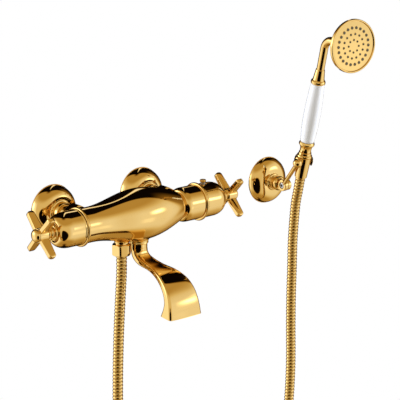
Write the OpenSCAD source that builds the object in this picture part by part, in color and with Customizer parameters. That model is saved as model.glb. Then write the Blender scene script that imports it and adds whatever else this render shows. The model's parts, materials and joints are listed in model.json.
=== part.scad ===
// Wall mounted bath mixer with spout, hand shower, wall holder and hose.
// Frame: +Z up, the finished wall is the plane y = 0 and the mixer stands out towards -Y.
// The origin is on the wall, midway between the two supply connections.

/* [Mixer] */
// Distance between the centres of the two supply connections
inlet_spacing = 150; // [146:1:154]
// Distance from the finished wall to the axis of the mixer
axis_out = 94; // [92:1:98]
// Radius of the swelling at the middle of the body
belly_r = 35.5; // [34.5:0.5:36.5]
// Radius of the waists at both ends of the belly
waist_r = 23.5; // [23.5:0.5:24.5]
// Length of the cast body, end to end
body_len = 196; // [194:1:198]
// Outer radius of the bead rings at the ends of the body
bead_r = 26.6; // [26:0.2:28]
// Outer radius of the turning handle sleeves
sleeve_r = 23.8; // [23.5:0.1:24.2]
// Reach of a cross handle's spokes from the axis
spoke_reach = 36; // [32:1:38]

/* [Spout] */
// Radius of the round neck of the spout
neck_r = 11.3; // [11:0.1:12]
// Width of the spout's mouth
mouth_w = 55; // [50:1:58]
// Wall thickness of the spout
spout_wall = 2; // [1.6:0.2:2.4]

/* [Wall holder] */
// Distance of the holder to the right of the origin
holder_x = 313; // [300:1:330]
// Height of the holder's post above the origin (negative is below)
holder_z = -22; // [-30:1:-10]
// Outer radius of the three round cover plates
rosette_r = 34.8; // [32:0.2:35]

/* [Hand shower] */
// Lean of the hand shower away from the wall, in degrees
lean = 13; // [8:1:16]
// Turn of the head about the handle, in degrees
head_turn = -7; // [-20:1:20]
// Outer radius of the shower head
head_r = 37.6; // [36:0.2:40]
// Distance from the handle's axis to the spray face
head_reach = 64; // [60:1:66]

/* [Hose] */
// Outer diameter of the metal hose
hose_d = 14.5; // [12:0.5:14.5]

/* [Hidden] */
$fn = 64;

gold = [0.88, 0.70, 0.33];
brass = [0.72, 0.55, 0.28];
porcelain = [0.95, 0.94, 0.91];
black_rubber = [0.08, 0.08, 0.08];
grey_plastic = [0.55, 0.56, 0.58];
steel = [0.70, 0.70, 0.72];

gap = 0.3;          // clearance between parts that move past each other
running = 0.05;     // radial play of a shaft in its bore
inlet_x = inlet_spacing / 2;
body_end = body_len / 2;

// Mixer body
belly_left = 82;    // length over which the belly falls to the left waist
crease_x = 68;      // crease that ends the belly on the right, where the barrel starts
crease_r = 20.6;
flank_power = 1.2;  // above 1 the belly's right flank is leaner
barrel_r = 23.8;
shoulder = 9;       // rounded shoulder from the crease up to the barrel
left_bore_r = 16;
left_bore_x = -52;
right_bore_r = 18.5;
right_bore_x = 24;
passage_r = 9;
hot_way_r = 2.6;    // hot water way drilled along the back wall
hot_way_off = 20;
boss_face_y = -56;  // face of the inlet bosses, where the filter washers seal
inlet_thread_r = 13.1;
outlet_x = -29.6;    // shower outlet
outlet_boss_z = -34;
spout_boss_z = -37;

// Supply unions, measured as distance out of the wall
wall_thread_r = 10.48;
wall_thread_len = 20;
union_bore = 7.5;

// Knuckle of the wall holder
knuckle_out = 41.4;
knuckle_r = 8.4;

// Hand shower: places along its handle's axis, from the foot of the cone nut
foot = [holder_x, -74.9, -3.1];
ring_lo = 20;
ring_hi = 32;
cone_top = 39.7;
grip_lo = 56.5;
grip_hi = 146;
neck_lo = 168;
head_joint = 213;   // where the handle's axis meets the head's axis
bend_r = 16;        // bend of the head's neck
neck_tube_r = 5.7;
rim_depth = 6;
nozzle_rings = [[22, 25.7, 2.2], [14, 16.9, 1.7], [8, 8.7, 1.55]]; // count, radius, hole

// Route of the hose's centre line, from the mixer's outlet nut to the cone nut
route = [
  [-29.6, -94, -52.4], [-30.2, -94, -80], [-32.4, -93, -120], [-34.8, -92, -170], [-35.4, -90, -230],
  [-34, -88, -300], [-28, -86, -365], [-15, -83, -430], [12, -80, -490], [53, -77, -536],
  [98, -74, -559], [141, -71, -566], [184, -68, -559], [229, -65, -536], [270, -62, -490],
  [297, -60, -430], [309, -59, -365], [313, -59, -300], [314, -57, -230], [314, -57, -185],
  [314, -58, -145], [313, -60, -100], [313, -64.5, -50], [313, -70, -24.3], [313, -74.9, -3.1]
];
lower_last = 20;    // route point where the lower length ends and the upper one starts

// --- helpers -------------------------------------------------------------------

// Solid of revolution about the mixer's axis, from points [radius, x]
module on_axis(profile) {
  translate([0, -axis_out, 0]) rotate([0, 90, 0]) rotate_extrude() polygon(profile);
}

// Solid of revolution about a line out of the wall, from points [radius, distance out]
module out_of_wall(x, z, profile) {
  translate([x, 0, z]) rotate([90, 0, 0]) rotate_extrude() polygon(profile);
}

// Frame of the hand shower: z runs up its handle from the foot
module at_handset() {
  translate(foot) rotate([lean, 0, 0]) children();
}

// Frame of the shower head: z runs out of its spray face from the joint with the handle
module at_head() {
  at_handset() rotate([0, 0, head_turn]) translate([0, 0, head_joint])
    rotate([90 - lean, 0, 0]) children();
}

module ring(outer, inner, height) {
  difference() {
    cylinder(r = outer, h = height);
    translate([0, 0, -1]) cylinder(r = inner, h = height + 2);
  }
}

// Hexagon across its flats with its corners turned off at both ends
module hex_nut(flats, height, bore) {
  corner = flats / 2 / cos(30);
  turned = corner - 1.4;
  difference() {
    intersection() {
      cylinder(r = corner, h = height, $fn = 6);
      rotate_extrude()
        polygon([[0, 0], [turned, 0], [corner, 1.6], [corner, height - 1.6],
                 [turned, height], [0, height]]);
    }
    translate([0, 0, -1]) cylinder(r = bore, h = height + 2);
  }
}

// Point on the smooth curve through pts, at place t counted in points
function at(pts, i) = pts[max(0, min(len(pts) - 1, i))];
function curve(pts, t) =
  let(i = min(floor(t), len(pts) - 2), u = t - i,
      a = at(pts, i - 1), b = at(pts, i), c = at(pts, i + 1), d = at(pts, i + 2))
  0.5 * (2 * b + (c - a) * u + (2 * a - 5 * b + 4 * c - d) * u * u
         + (3 * b - a - 3 * c + d) * u * u * u);
function unit(v) = v / norm(v);
function heading(pts, t) =
  unit(curve(pts, min(t + 0.02, len(pts) - 1)) - curve(pts, max(t - 0.02, 0)));

// --- mixer body ------------------------------------------------------------------

function swell(x) =
  x < 0 ? waist_r + (belly_r - waist_r) * (x < -belly_left ? 0 : 0.5 + 0.5 * cos(180 * x / belly_left))
        : crease_r + (belly_r - crease_r) * pow(cos(90 * x / crease_x), flank_power);
function barrel(x) =
  let(u = min(1, (x - crease_x) / shoulder))
  crease_r + (barrel_r - crease_r) * sqrt(1 - (1 - u) * (1 - u));

module mixer_body() {
  belly = [for (x = [-body_end:4:crease_x - 2]) [swell(x), x]];
  right = [for (x = [crease_x:1:crease_x + shoulder]) [barrel(x), x]];
  color(gold) difference() {
    union() {
      on_axis(concat([[0, -body_end]], belly, right, [[barrel_r, body_end], [0, body_end]]));
      for (side = [-1, 1])
        out_of_wall(side * inlet_x, 0,
          [[0, -boss_face_y], [inlet_thread_r, -boss_face_y], [inlet_thread_r, axis_out], [0, axis_out]]);
      translate([0, -axis_out, spout_boss_z]) cylinder(r = neck_r + 1.3, h = 20);
      translate([outlet_x, -axis_out, outlet_boss_z]) cylinder(r = 9.6, h = 20);
    }
    on_axis([[0, -body_end - 1], [left_bore_r, -body_end - 1], [left_bore_r, left_bore_x],
             [passage_r, left_bore_x], [passage_r, right_bore_x], [right_bore_r, right_bore_x],
             [right_bore_r, body_end + 1], [0, body_end + 1]]);
    out_of_wall(-inlet_x, 0, [[0, 0], [7, 0], [7, 76.5], [0, 76.5]]);
    out_of_wall(inlet_x, 0, [[0, 0], [7, 0], [7, axis_out], [0, axis_out]]);
    translate([-inlet_x, hot_way_off - axis_out, 0]) rotate([0, 90, 0])
      cylinder(r = hot_way_r, h = inlet_x + 40);
    translate([0, -axis_out, -40]) cylinder(r = 6, h = 40);
    translate([0, -axis_out, -40]) cylinder(r = 8.55, h = 13);
    translate([outlet_x, -axis_out, -40]) cylinder(r = 4.5, h = 40);
    translate([outlet_x, -axis_out, -40]) cylinder(r = 7.05, h = 16);
  }
}

// --- supply unions ------------------------------------------------------------------

module supply_union(x) {
  color(brass) out_of_wall(x, 0, [
    [union_bore, -22], [wall_thread_r, -22], [wall_thread_r, -2], [13.5, -2], [13.5, 6],
    [12.5, 8], [12.5, 50], [14.3, 50], [14.3, 54], [union_bore, 54]]);
}
module hot_union() { supply_union(-inlet_x); }
module cold_union() { supply_union(inlet_x); }

module check_valve(x) {
  color(grey_plastic) out_of_wall(x, 0, [
    [3, 30], [7.45, 30], [7.45, 34], [6.4, 35], [6.4, 43], [4.2, 45], [0, 45], [0, 43.5], [3, 41]]);
}
module hot_check_valve() { check_valve(-inlet_x); }
module cold_check_valve() { check_valve(inlet_x); }

module filter_washer(x) {
  color(black_rubber) out_of_wall(x, 0, [[0, 54.7], [6, 54.7], [6, 54.05], [12.7, 54.05],
    [12.7, 55.95], [6, 55.95], [6, 55.3], [0, 55.3]]);
}
module hot_filter_washer() { filter_washer(-inlet_x); }
module cold_filter_washer() { filter_washer(inlet_x); }

module union_nut(x) {
  color(gold) translate([x, -46, 0]) rotate([90, 0, 0]) difference() {
    hex_nut(33, 17, 12.6);
    translate([0, 0, 3.9]) cylinder(r = 14.5, h = 4.3);
    translate([0, 0, 8]) cylinder(r = 13.15, h = 10);
  }
}
module hot_union_nut() { union_nut(-inlet_x); }
module cold_union_nut() { union_nut(inlet_x); }

// Quarter ellipse from the wall at radius rim up to radius top at the given depth
function dome(rim, top, depth) =
  [for (a = [0:7.5:90]) [top + (rim - top) * cos(a), depth * sin(a)]];
function backwards(list) = [for (i = [len(list) - 1:-1:0]) list[i]];

// Round cover plate: a dome, a stepped bead and a short neck with the given bore
module cover_plate(x, z, bore, depth, neck_out) {
  step = bore + 5;
  color(gold) out_of_wall(x, z, concat(
    dome(rosette_r, step, depth),
    [[step - 1, depth + 1.6], [bore + 1.8, depth + 2.4], [bore + 1.8, neck_out], [bore, neck_out],
     [bore, depth - 1.8]],
    backwards(dome(rosette_r - 1.8, step - 1, depth - 1.8))));
}
module hot_rosette() { cover_plate(-inlet_x, 0, 12.8, 20, 31); }
module cold_rosette() { cover_plate(inlet_x, 0, 12.8, 20, 31); }

// --- cartridges, nuts and rings -------------------------------------------------------

spindle_r = 4;
spindle_bore = spindle_r + running;
cartridge_top = 88;
thermostat_seals = [37, 61, 85];   // places of the sealing rings along the axis
diverter_seals = [57, 85];
seal_r = 1.1;

// Stepped outline of a cartridge with a groove for each sealing ring
function grooved(r, seals) =
  [for (x = seals) each [[r, x - 1.3], [r - 2.3, x - 1.3], [r - 2.3, x + 1.3], [r, x + 1.3]]];

module thermostat_cartridge() {
  r = right_bore_r - gap;
  color(grey_plastic) on_axis(concat(
    [[0, 26], [14, 26], [r, 30]], grooved(r, [thermostat_seals[0], thermostat_seals[1]]),
    [[r, 68], [15, 69.5], [15, 80.5], [r, 82]], grooved(r, [thermostat_seals[2]]),
    [[r, cartridge_top], [spindle_bore, cartridge_top], [spindle_bore, 58], [0, 58]]));
}
module diverter_cartridge() {
  r = left_bore_r - gap;
  color(grey_plastic) mirror([1, 0, 0]) on_axis(concat(
    [[0, 54], [r, 54]], grooved(r, diverter_seals),
    [[r, cartridge_top], [spindle_bore, cartridge_top], [spindle_bore, 64], [0, 64]]));
}
module cartridge_seals() {
  color(black_rubber) {
    for (x = thermostat_seals)
      translate([x, -axis_out, 0]) rotate([0, 90, 0]) rotate_extrude()
        translate([right_bore_r - seal_r - 0.1, 0]) circle(r = seal_r, $fn = 24);
    for (x = diverter_seals)
      translate([-x, -axis_out, 0]) rotate([0, 90, 0]) rotate_extrude()
        translate([left_bore_r - seal_r - 0.1, 0]) circle(r = seal_r, $fn = 24);
  }
}

// Nut that holds a cartridge in its bore and clamps the bead ring to the body's end
module gland_nut(thread_r) {
  color(brass) on_axis([
    [9, cartridge_top + 0.1], [thread_r, cartridge_top + 0.1], [thread_r, body_end + 4.4],
    [20.6, body_end + 4.4], [20.6, 107], [16.4, 107], [16.4, 111], [9, 111]]);
}
module thermostat_nut() { gland_nut(right_bore_r - 0.1); }
module diverter_nut() { mirror([1, 0, 0]) gland_nut(left_bore_r - 0.1); }

module stop_ring() {
  color(grey_plastic) {
    on_axis([[9.5, 111.2], [16.4, 111.2], [16.4, 114.8], [9.5, 114.8]]);
    translate([114.8, -axis_out - 2, 10]) cube([2, 4, 5]);
  }
}

bead_w = 4.2;
module bead_ring(bore) {
  mid = body_end + 0.1 + bead_w / 2;
  color(gold) on_axis(concat([[bore, mid - bead_w / 2]],
    [for (a = [-90:15:90]) [bead_r - bead_w / 2 + bead_w / 2 * cos(a), mid + bead_w / 2 * sin(a)]],
    [[bore, mid + bead_w / 2]]));
}
module temperature_bead_ring() { bead_ring(right_bore_r); }
module flow_bead_ring() { mirror([1, 0, 0]) bead_ring(left_bore_r); }

// --- turning handles, drawn on the right and mirrored for the left ---------------------

sleeve_lo = body_end + 4.9;
sleeve_dome = 122;    // where the sleeve's dome starts
sleeve_hi = 140;
button_x = 112;
cross_lo = sleeve_hi + gap;
cross_x = 159;        // plane of the four spokes
hub_r = 9.4;
hub_hi = 166;
counterbore_r = 6.05; // recess in the hub for the screw's head and the cap's plug
counterbore_lo = 157;
screw_r = 2.5;

module sleeve() {
  dome_r = 13.5;
  inner_r = 21.4;
  on_axis(concat(
    [[inner_r, sleeve_lo], [24.5, sleeve_lo], [24.5, sleeve_lo + 1.5], [sleeve_r, sleeve_lo + 2]],
    [for (a = [0:10:90]) [dome_r + (sleeve_r - dome_r) * cos(a),
                          sleeve_dome + (sleeve_hi - sleeve_dome) * sin(a)]],
    [[spindle_bore, sleeve_hi], [spindle_bore, 120], [8.5, 120], [8.5, 136.5]],
    [for (a = [90:-10:0]) [11.3 + (inner_r - 11.3) * cos(a), 121 + 16.2 * sin(a)]]));
}
module temperature_sleeve() {
  color(gold) difference() {
    sleeve();
    translate([button_x, -axis_out, 15]) cylinder(r = 2.95, h = 15);
    translate([button_x, -axis_out, 22.4]) cylinder(r = 3.95, h = 5);
  }
}
module flow_sleeve() { color(gold) mirror([1, 0, 0]) sleeve(); }

module spindle(lo) {
  color(brass) on_axis([[0, lo], [spindle_r, lo], [spindle_r, 151.8], [screw_r + running, 151.8],
                        [screw_r + running, 136], [0, 136]]);
}
module temperature_spindle() { spindle(60); }
module flow_spindle() { mirror([1, 0, 0]) spindle(66); }

module spoke() {
  root = 6.6;
  tip = 5.2;
  linear_extrude(height = 7.2, center = true) {
    polygon([[-root, 7.2], [root, 7.2], [tip, spoke_reach - tip], [-tip, spoke_reach - tip]]);
    translate([0, spoke_reach - tip]) circle(r = tip);
  }
}
module cross_handle() {
  on_axis([[spindle_bore, cross_lo], [10.4, cross_lo], [10.8, 142], [10.2, 143.6], [7.4, 144.2],
           [7.4, 145.4], [9.2, 146], [9.6, 147.4], [9.2, 148.8], [7, 149.6], [7, 151], [9, 152],
           [hub_r, 153.5], [hub_r, hub_hi - 1], [8.9, hub_hi], [counterbore_r, hub_hi],
           [counterbore_r, counterbore_lo], [screw_r + 0.1, counterbore_lo],
           [screw_r + 0.1, 152], [spindle_bore, 152]]);
  for (turn = [45:90:315])
    translate([cross_x, -axis_out, 0]) rotate([turn, 0, 0]) spoke();
}
module temperature_cross() { color(gold) cross_handle(); }
module flow_cross() { color(gold) mirror([1, 0, 0]) cross_handle(); }

module handle_screw() {
  color(steel) on_axis([[0, 138], [screw_r, 138], [screw_r, counterbore_lo + 0.05],
    [4.5, counterbore_lo + 0.05], [4.5, counterbore_lo + 3.4], [2, counterbore_lo + 3.4],
    [2, counterbore_lo + 1.2], [0, counterbore_lo + 1.2]]);
}
module temperature_screw() { handle_screw(); }
module flow_screw() { mirror([1, 0, 0]) handle_screw(); }

module nose_cap() {
  on_axis(concat([[0, 161.2], [counterbore_r - 0.05, 161.2], [counterbore_r - 0.05, hub_hi + 0.05],
                  [8.9, hub_hi + 0.05]],
    [for (a = [10:10:90]) [8.9 * cos(a), hub_hi + 0.6 + 5.4 * sin(a)]]));
}
module temperature_cap() { color(gold) nose_cap(); }
module flow_cap() { color(gold) mirror([1, 0, 0]) nose_cap(); }

// The safety button stands on top of the temperature sleeve and is pressed down
module safety_button() {
  color(gold) translate([button_x, -axis_out, 0]) rotate_extrude()
    polygon([[0, 18.9], [4.2, 18.9], [4.2, 20.8], [2.9, 20.9], [2.9, 26], [3.8, 26.2], [4.3, 26.9],
             [4.3, 28.2], [3.6, 29.1], [0, 29.4]]);
}
module button_spring() {
  color(steel) translate([button_x, -axis_out, 22.45]) ring(3.85, 3.1, 3.3);
}

// --- spout ---------------------------------------------------------------------------

spout_top = -40;
mouth_z = -119;
// Centre line of the spout: distance in front of the mixer's axis, height, thickness
spout_line = [[0, spout_top, 22], [0, -47, 22], [3, -56, 17], [13, -62, 11.5], [36, -66, 8.5],
              [58, -70.5, 9], [74, -78, 10.5], [84, -88, 11.5], [89, -99, 12.5], [90.7, -109, 15],
              [91, mouth_z, 17.5]];
// Half width of the spout: seen from above by distance, and from the front by height
spout_plan = [[-14, 11.5], [33, 11.8], [46, 14.5], [58, 17.5], [68, 20], [78, 23.5], [88, 26.5], [104, 28.5]];
spout_front = [[-30, 30], [-70, 30], [-77, 22], [-84, 22.5], [-91, 24], [-105, mouth_w / 2 - 1],
               [mouth_z - 1, mouth_w / 2]];

// Side of the spout between its front and back outlines, thinner by cut all round
module spout_side(cut, from) {
  steps = [for (t = [from:0.25:len(spout_line) - 1]) t];
  function edge(t, side) =
    let(p = curve(spout_line, t), q = curve(spout_line, min(t + 0.02, len(spout_line) - 1)),
        o = curve(spout_line, max(t - 0.02, 0)), h = unit([q[0] - o[0], q[1] - o[1]]),
        half = p[2] / 2 - cut)
    [-axis_out - p[0] - side * half * h[1], p[1] - side * half * h[0]];
  rotate([90, 0, 90]) linear_extrude(height = 2 * mouth_w, center = true)
    polygon(concat([for (t = steps) edge(t, 1)], [for (t = backwards(steps)) edge(t, -1)]));
}
module spout_shape(cut, from) {
  intersection() {
    spout_side(cut, from);
    translate([0, 0, -140]) linear_extrude(height = 120)
      polygon(concat([for (p = spout_plan) [p[1] - cut, -axis_out - p[0]]],
                     [for (p = backwards(spout_plan)) [cut - p[1], -axis_out - p[0]]]));
    translate([0, -axis_out - 1, 0]) rotate([90, 0, 0]) linear_extrude(height = 120)
      polygon(concat([for (p = spout_front) [p[1] - cut, p[0]]],
                     [for (p = backwards(spout_front)) [cut - p[1], p[0]]]));
  }
}
module spout() {
  color(gold) difference() {
    union() {
      intersection() {
        translate([0, -axis_out, -80]) cylinder(r = neck_r, h = 80 + spout_top);
        spout_side(0, 0);
      }
      spout_shape(0, 1.5);
      translate([0, -axis_out, spout_top - 1]) cylinder(r = 8.5, h = 13);
    }
    translate([0, -axis_out, -61]) cylinder(r = 6, h = 60);
    spout_shape(spout_wall, 2.5);
    translate([0, -axis_out - 91, mouth_z - 1])
      cube([mouth_w - 2 * spout_wall - 0.6, 13.4, 5], center = true);
  }
}
module spout_collar() {
  color(gold) translate([0, -axis_out, spout_top]) rotate_extrude()
    polygon([[8.6, 0], [neck_r, 0], [neck_r + 1.2, 0.6], [neck_r + 1.5, 1.5], [neck_r + 1.2, 2.4],
             [neck_r + 1, 2.95], [8.6, 2.95]]);
}
module flow_straightener() {
  plate = [46, 11, 5];
  color(grey_plastic) translate([0, -axis_out - 90.9, mouth_z + 4.5]) difference() {
    cube(plate, center = true);
    for (i = [-7:7], j = [-1:1])
      translate([i * 3, j * 3.4, 0]) cube([2.2, 2.6, plate[2] + 2], center = true);
  }
}

// --- shower outlet and hose -----------------------------------------------------------

nut_hi = -35.6;
nut_lo = -52.4;
outlet_end = nut_lo + 7.45;
module shower_outlet() {
  color(gold) translate([outlet_x, -axis_out, 0]) rotate_extrude()
    polygon([[4.5, outlet_end], [8.3, outlet_end], [8.3, outlet_boss_z - 0.05],
             [7, outlet_boss_z - 0.05], [7, -24.2],
             [4.5, -24.2]]);
}
module hose_washer() {
  color(black_rubber) translate([outlet_x, -axis_out, nut_lo + 5.05]) ring(8.2, 4.6, 2.35);
}
module hose_nut() {
  color(gold) translate([outlet_x, -axis_out, nut_lo]) difference() {
    hex_nut(23.4, nut_hi - nut_lo, 5);
    translate([0, 0, 5]) cylinder(r = 8.35, h = 20);
  }
}

sides = 10;
end_gap = 0.004;   // how far each length stops short of what it meets, in route steps
module hose(first, last) {
  n = 2 * (last - first) + 1;
  from = first + end_gap;
  to = last - end_gap;
  rings = [for (i = [0:n - 1]) from + (to - from) * i / (n - 1)];
  points = [for (t = rings)
    let(c = curve(route, t), h = heading(route, t), u = unit(cross([0, 1, 0], h)), v = cross(h, u))
    for (k = [0:sides - 1]) c + hose_d / 2 * (cos(360 * k / sides) * u + sin(360 * k / sides) * v)];
  walls = [for (i = [0:n - 2], k = [0:sides - 1])
    let(a = i * sides + k, b = i * sides + (k + 1) % sides) each
    [[a, b + sides, b], [a, a + sides, b + sides]]];
  ends = [[for (k = [0:sides - 1]) k], [for (k = [sides - 1:-1:0]) (n - 1) * sides + k]];
  color(gold) polyhedron(points, concat(walls, ends));
}
module hose_lower() { hose(0, lower_last); }
module hose_upper() { hose(lower_last, len(route) - 1); }

// --- wall holder -----------------------------------------------------------------------

module wall_plate() {
  color(steel) difference() {
    out_of_wall(holder_x, holder_z, [[0, 0], [26, 0], [26, 3], [3.9, 3], [3.9, 13], [0, 13]]);
    for (side = [-18, 18])
      translate([holder_x + side, 1, holder_z]) rotate([90, 0, 0]) cylinder(r = 2.4, h = 5);
  }
}
module holder_rosette() { cover_plate(holder_x, holder_z, 8.05, 16, 18.8); }

post_end = 32.4;
ear_x = holder_x + gap;
module holder_post() {
  color(gold) difference() {
    union() {
      out_of_wall(holder_x, holder_z, [
        [0, 3.2], [7.9, 3.2], [7.9, 19], [9.2, 19.6], [9.2, 20.6], [8.2, 21.2], [8.2, 22],
        [10, 22.8], [10.7, 25], [10.7, 29], [10, 31.4], [8.5, post_end], [0, post_end]]);
      translate([ear_x, -knuckle_out, holder_z]) rotate([0, 90, 0]) cylinder(r = knuckle_r - 0.4, h = 6);
      translate([ear_x, -knuckle_out, holder_z - 5]) cube([6, knuckle_out - 28, 10]);
    }
    out_of_wall(holder_x, holder_z, [[0, 2], [4, 2], [4, 14], [0, 14]]);
    translate([ear_x - 1, -knuckle_out, holder_z]) rotate([0, 90, 0]) cylinder(r = 2.5, h = 5.5);
  }
}
module knuckle_screw() {
  color(steel) translate([holder_x - 6.4, -knuckle_out, holder_z]) rotate([0, 90, 0]) difference() {
    rotate_extrude() polygon([[0, 0], [4.5, 0], [4.5, 2.6], [2.45, 2.6], [2.45, 11], [0, 11]]);
    translate([0, 0, -1]) cylinder(r = 2.3, h = 3, $fn = 6);
  }
}

ball_r = 6.8;
ball_turn = 195;     // direction of the ball from the ring's centre
ball_off = 16.2;
ball_world = let(p = [ball_off * cos(ball_turn), ball_off * sin(ball_turn), (ring_lo + ring_hi) / 2])
  foot + [p[0], p[1] * cos(lean) - p[2] * sin(lean), p[1] * sin(lean) + p[2] * cos(lean)];
lug_centre = [holder_x - 3.4, -knuckle_out, holder_z];
rod_r = 3.2;
module holder_arm() {
  way = ball_world - lug_centre;
  flat = norm([way[0], way[1]]);
  color(gold) difference() {
    union() {
      translate([holder_x - 6.8, -knuckle_out, holder_z]) rotate([0, 90, 0]) cylinder(r = knuckle_r, h = 6.8);
      translate(lug_centre + 6 * unit(way))
        rotate([0, atan2(flat, way[2]), atan2(way[1], way[0])])
        cylinder(r = rod_r, h = norm(way) - 6 - ball_r + 1.2);
    }
    translate([holder_x - 8, -knuckle_out, holder_z]) rotate([0, 90, 0]) cylinder(r = 4.8, h = 4.4);
    translate([holder_x - 8, -knuckle_out, holder_z]) rotate([0, 90, 0]) cylinder(r = 2.5, h = 10);
    translate(ball_world) sphere(r = ball_r + 0.05);
    at_handset() translate([0, 0, ring_lo - gap])
      cylinder(r = ring_outer + gap, h = ring_hi - ring_lo + 2 * gap);
  }
}
ring_bore = 10.5;
ring_outer = 13.9;
module holder_ring() {
  gap_from = 212;    // the ring's slot for the hose, in degrees
  gap_to = 314;
  color(gold) at_handset() difference() {
    union() {
      translate([0, 0, ring_lo]) rotate_extrude()
        polygon([[8, 0], [12.6, 0], [13.5, 2], [ring_outer, 6], [13.5, 10], [12.6, 12], [8, 12]]);
      translate([ball_off * cos(ball_turn), ball_off * sin(ball_turn), (ring_lo + ring_hi) / 2])
        sphere(r = ball_r);
    }
    translate([0, 0, ring_lo - 9]) cylinder(r = ring_bore, h = 30);
    translate([0, 0, ring_lo - 9]) linear_extrude(height = 30)
      polygon([[0, 0], 30 * [cos(gap_from), sin(gap_from)], 40 * [cos(263), sin(263)],
               30 * [cos(gap_to), sin(gap_to)]]);
  }
}

// --- hose end and hand shower ------------------------------------------------------------

stub_r = 8;
module cone_nut() {
  color(gold) at_handset() rotate_extrude()
    polygon([[6.2, 0], [8.4, 0], [8.9, 0.8], [9.5, 14], [10.1, 28], [10.1, ring_hi + gap],
             [11, ring_hi + gap], [11.1, 34], [10.6, 35.6], [9.4, 36.4], [9.2, cone_top],
             [stub_r + running, cone_top], [stub_r + running, 27], [6.2, 27]]);
}
module cone_washer() {
  color(black_rubber) at_handset() translate([0, 0, 27.05]) ring(7.9, 4.6, 1.9);
}
module lower_ferrule() {
  color(gold) at_handset() rotate_extrude()
    polygon([[5.1, 29.1], [stub_r, 29.1], [stub_r, 40.4], [8.3, 41], [8.1, 44], [8.6, 47], [10, 50],
             [10.9, 51.4], [11.4, 53], [11.2, 54.8], [10.3, grip_lo - 0.3], [5.1, grip_lo - 0.3]]);
}
module porcelain_grip() {
  span = grip_hi - grip_lo;
  color(porcelain) at_handset() rotate_extrude()
    polygon(concat([[6.2, grip_lo]],
      [for (i = [0:16]) let(u = i / 16)
        [9.9 + 2.4 * sin(180 * pow(u, 0.85)), grip_lo + span * u]],
      [[6.2, grip_hi]]));
}
module inner_tube() {
  color(brass) at_handset() translate([0, 0, 44]) ring(5, 3.9, 118);
}
module upper_ferrule() {
  color(gold) at_handset() rotate_extrude()
    polygon([[5.1, grip_hi + 0.3], [9.4, grip_hi + 0.3], [10.4, 147.6], [10.5, 150], [9.6, 152], [8.4, 153],
             [7.9, 156], [6.6, neck_lo], [neck_tube_r + 0.05, neck_lo],
             [neck_tube_r + 0.05, neck_lo - 5.6], [5.1, neck_lo - 5.6]]);
}
module grip_seals() {
  color(black_rubber) at_handset() for (z = [grip_lo + 3, grip_hi - 3])
    translate([0, 0, z - 1]) ring(6.1, 5.05, 2);
}
module head_neck() {
  bend = 90 - lean;
  tangent = bend_r * tan(bend / 2);
  color(gold) {
    at_handset() rotate([0, 0, head_turn]) {
      translate([0, 0, neck_lo - 5.5]) ring(neck_tube_r, 4, head_joint - tangent - neck_lo + 5.5);
      translate([0, -bend_r, head_joint - tangent]) rotate([90, 0, 90])
        rotate_extrude(angle = bend) translate([bend_r, 0]) difference() {
          circle(r = neck_tube_r);
          circle(r = 4);
        }
    }
    at_head() translate([0, 0, tangent]) ring(neck_tube_r, 4, head_reach - 20 - tangent);
  }
}
rim_lo = head_reach - rim_depth;
module head_shell() {
  color(gold) at_head() rotate_extrude()
    polygon([[neck_tube_r + 0.05, head_reach - 26], [8.2, head_reach - 26], [8.6, head_reach - 23],
             [11, head_reach - 19.5], [17, head_reach - 16], [25, head_reach - 12.5],
             [32, head_reach - 9], [36, rim_lo + 0.3], [head_r, rim_lo + 1.6],
             [head_r, head_reach - 0.8], [head_r - 0.8, head_reach], [head_r - 2.2, head_reach],
             [head_r - 2.2, head_reach - 3.4], [head_r - 4.4, head_reach - 5], [31, head_reach - 7.2],
             [24.5, head_reach - 10.6], [16.5, head_reach - 14], [10, head_reach - 17.6],
             [neck_tube_r + 0.05, head_reach - 18.4]]);
}
module plate_gasket() {
  color(black_rubber) at_head() translate([0, 0, head_reach - 4.5]) ring(head_r - 4.6, head_r - 6.4, 1.2);
}
module spray_plate() {
  color(gold) at_head() difference() {
    translate([0, 0, head_reach - 3.2]) cylinder(r = head_r - 2.3, h = 2.8);
    for (row = nozzle_rings, i = [0:row[0] - 1])
      rotate([0, 0, (row[0] == 14 ? 6 : 0) + 360 * i / row[0]])
        translate([row[1], 0, head_reach - 4]) cylinder(r = row[2], h = 5, $fn = 24);
  }
}
module spray_nozzles() {
  color(black_rubber) at_head()
    for (row = nozzle_rings, i = [0:row[0] - 1])
      rotate([0, 0, (row[0] == 14 ? 6 : 0) + 360 * i / row[0]])
        translate([row[1], 0, head_reach - 3.6]) difference() {
          cylinder(r = row[2] - 0.1, h = 3.8, $fn = 24);
          translate([0, 0, 1]) cylinder(r = 0.5, h = 4, $fn = 16);
        }
}

mixer_body();
hot_union();
cold_union();
hot_check_valve();
cold_check_valve();
hot_filter_washer();
cold_filter_washer();
hot_union_nut();
cold_union_nut();
hot_rosette();
cold_rosette();
thermostat_cartridge();
thermostat_nut();
stop_ring();
temperature_bead_ring();
diverter_cartridge();
diverter_nut();
flow_bead_ring();
cartridge_seals();
spout();
spout_collar();
flow_straightener();
shower_outlet();
hose_washer();
hose_nut();
hose_lower();
wall_plate();
holder_rosette();
holder_post();
knuckle_screw();
temperature_spindle();
temperature_sleeve();
temperature_cross();
temperature_screw();
temperature_cap();
button_spring();
safety_button();
flow_spindle();
flow_sleeve();
flow_cross();
flow_screw();
flow_cap();
holder_arm();
holder_ring();
cone_nut();
cone_washer();
hose_upper();
lower_ferrule();
porcelain_grip();
inner_tube();
upper_ferrule();
grip_seals();
head_neck();
head_shell();
plate_gasket();
spray_plate();
spray_nozzles();
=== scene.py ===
"""Wall mounted bath faucet: the visible surfaces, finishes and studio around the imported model.

The file is laid out as an add-on: sizes and colours are properties, each piece or group of
like pieces has an operator, and main() runs them in order.
"""
import functools
import json
import math

import bmesh
import bpy
import numpy as np
from mathutils import Matrix, Vector


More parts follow.
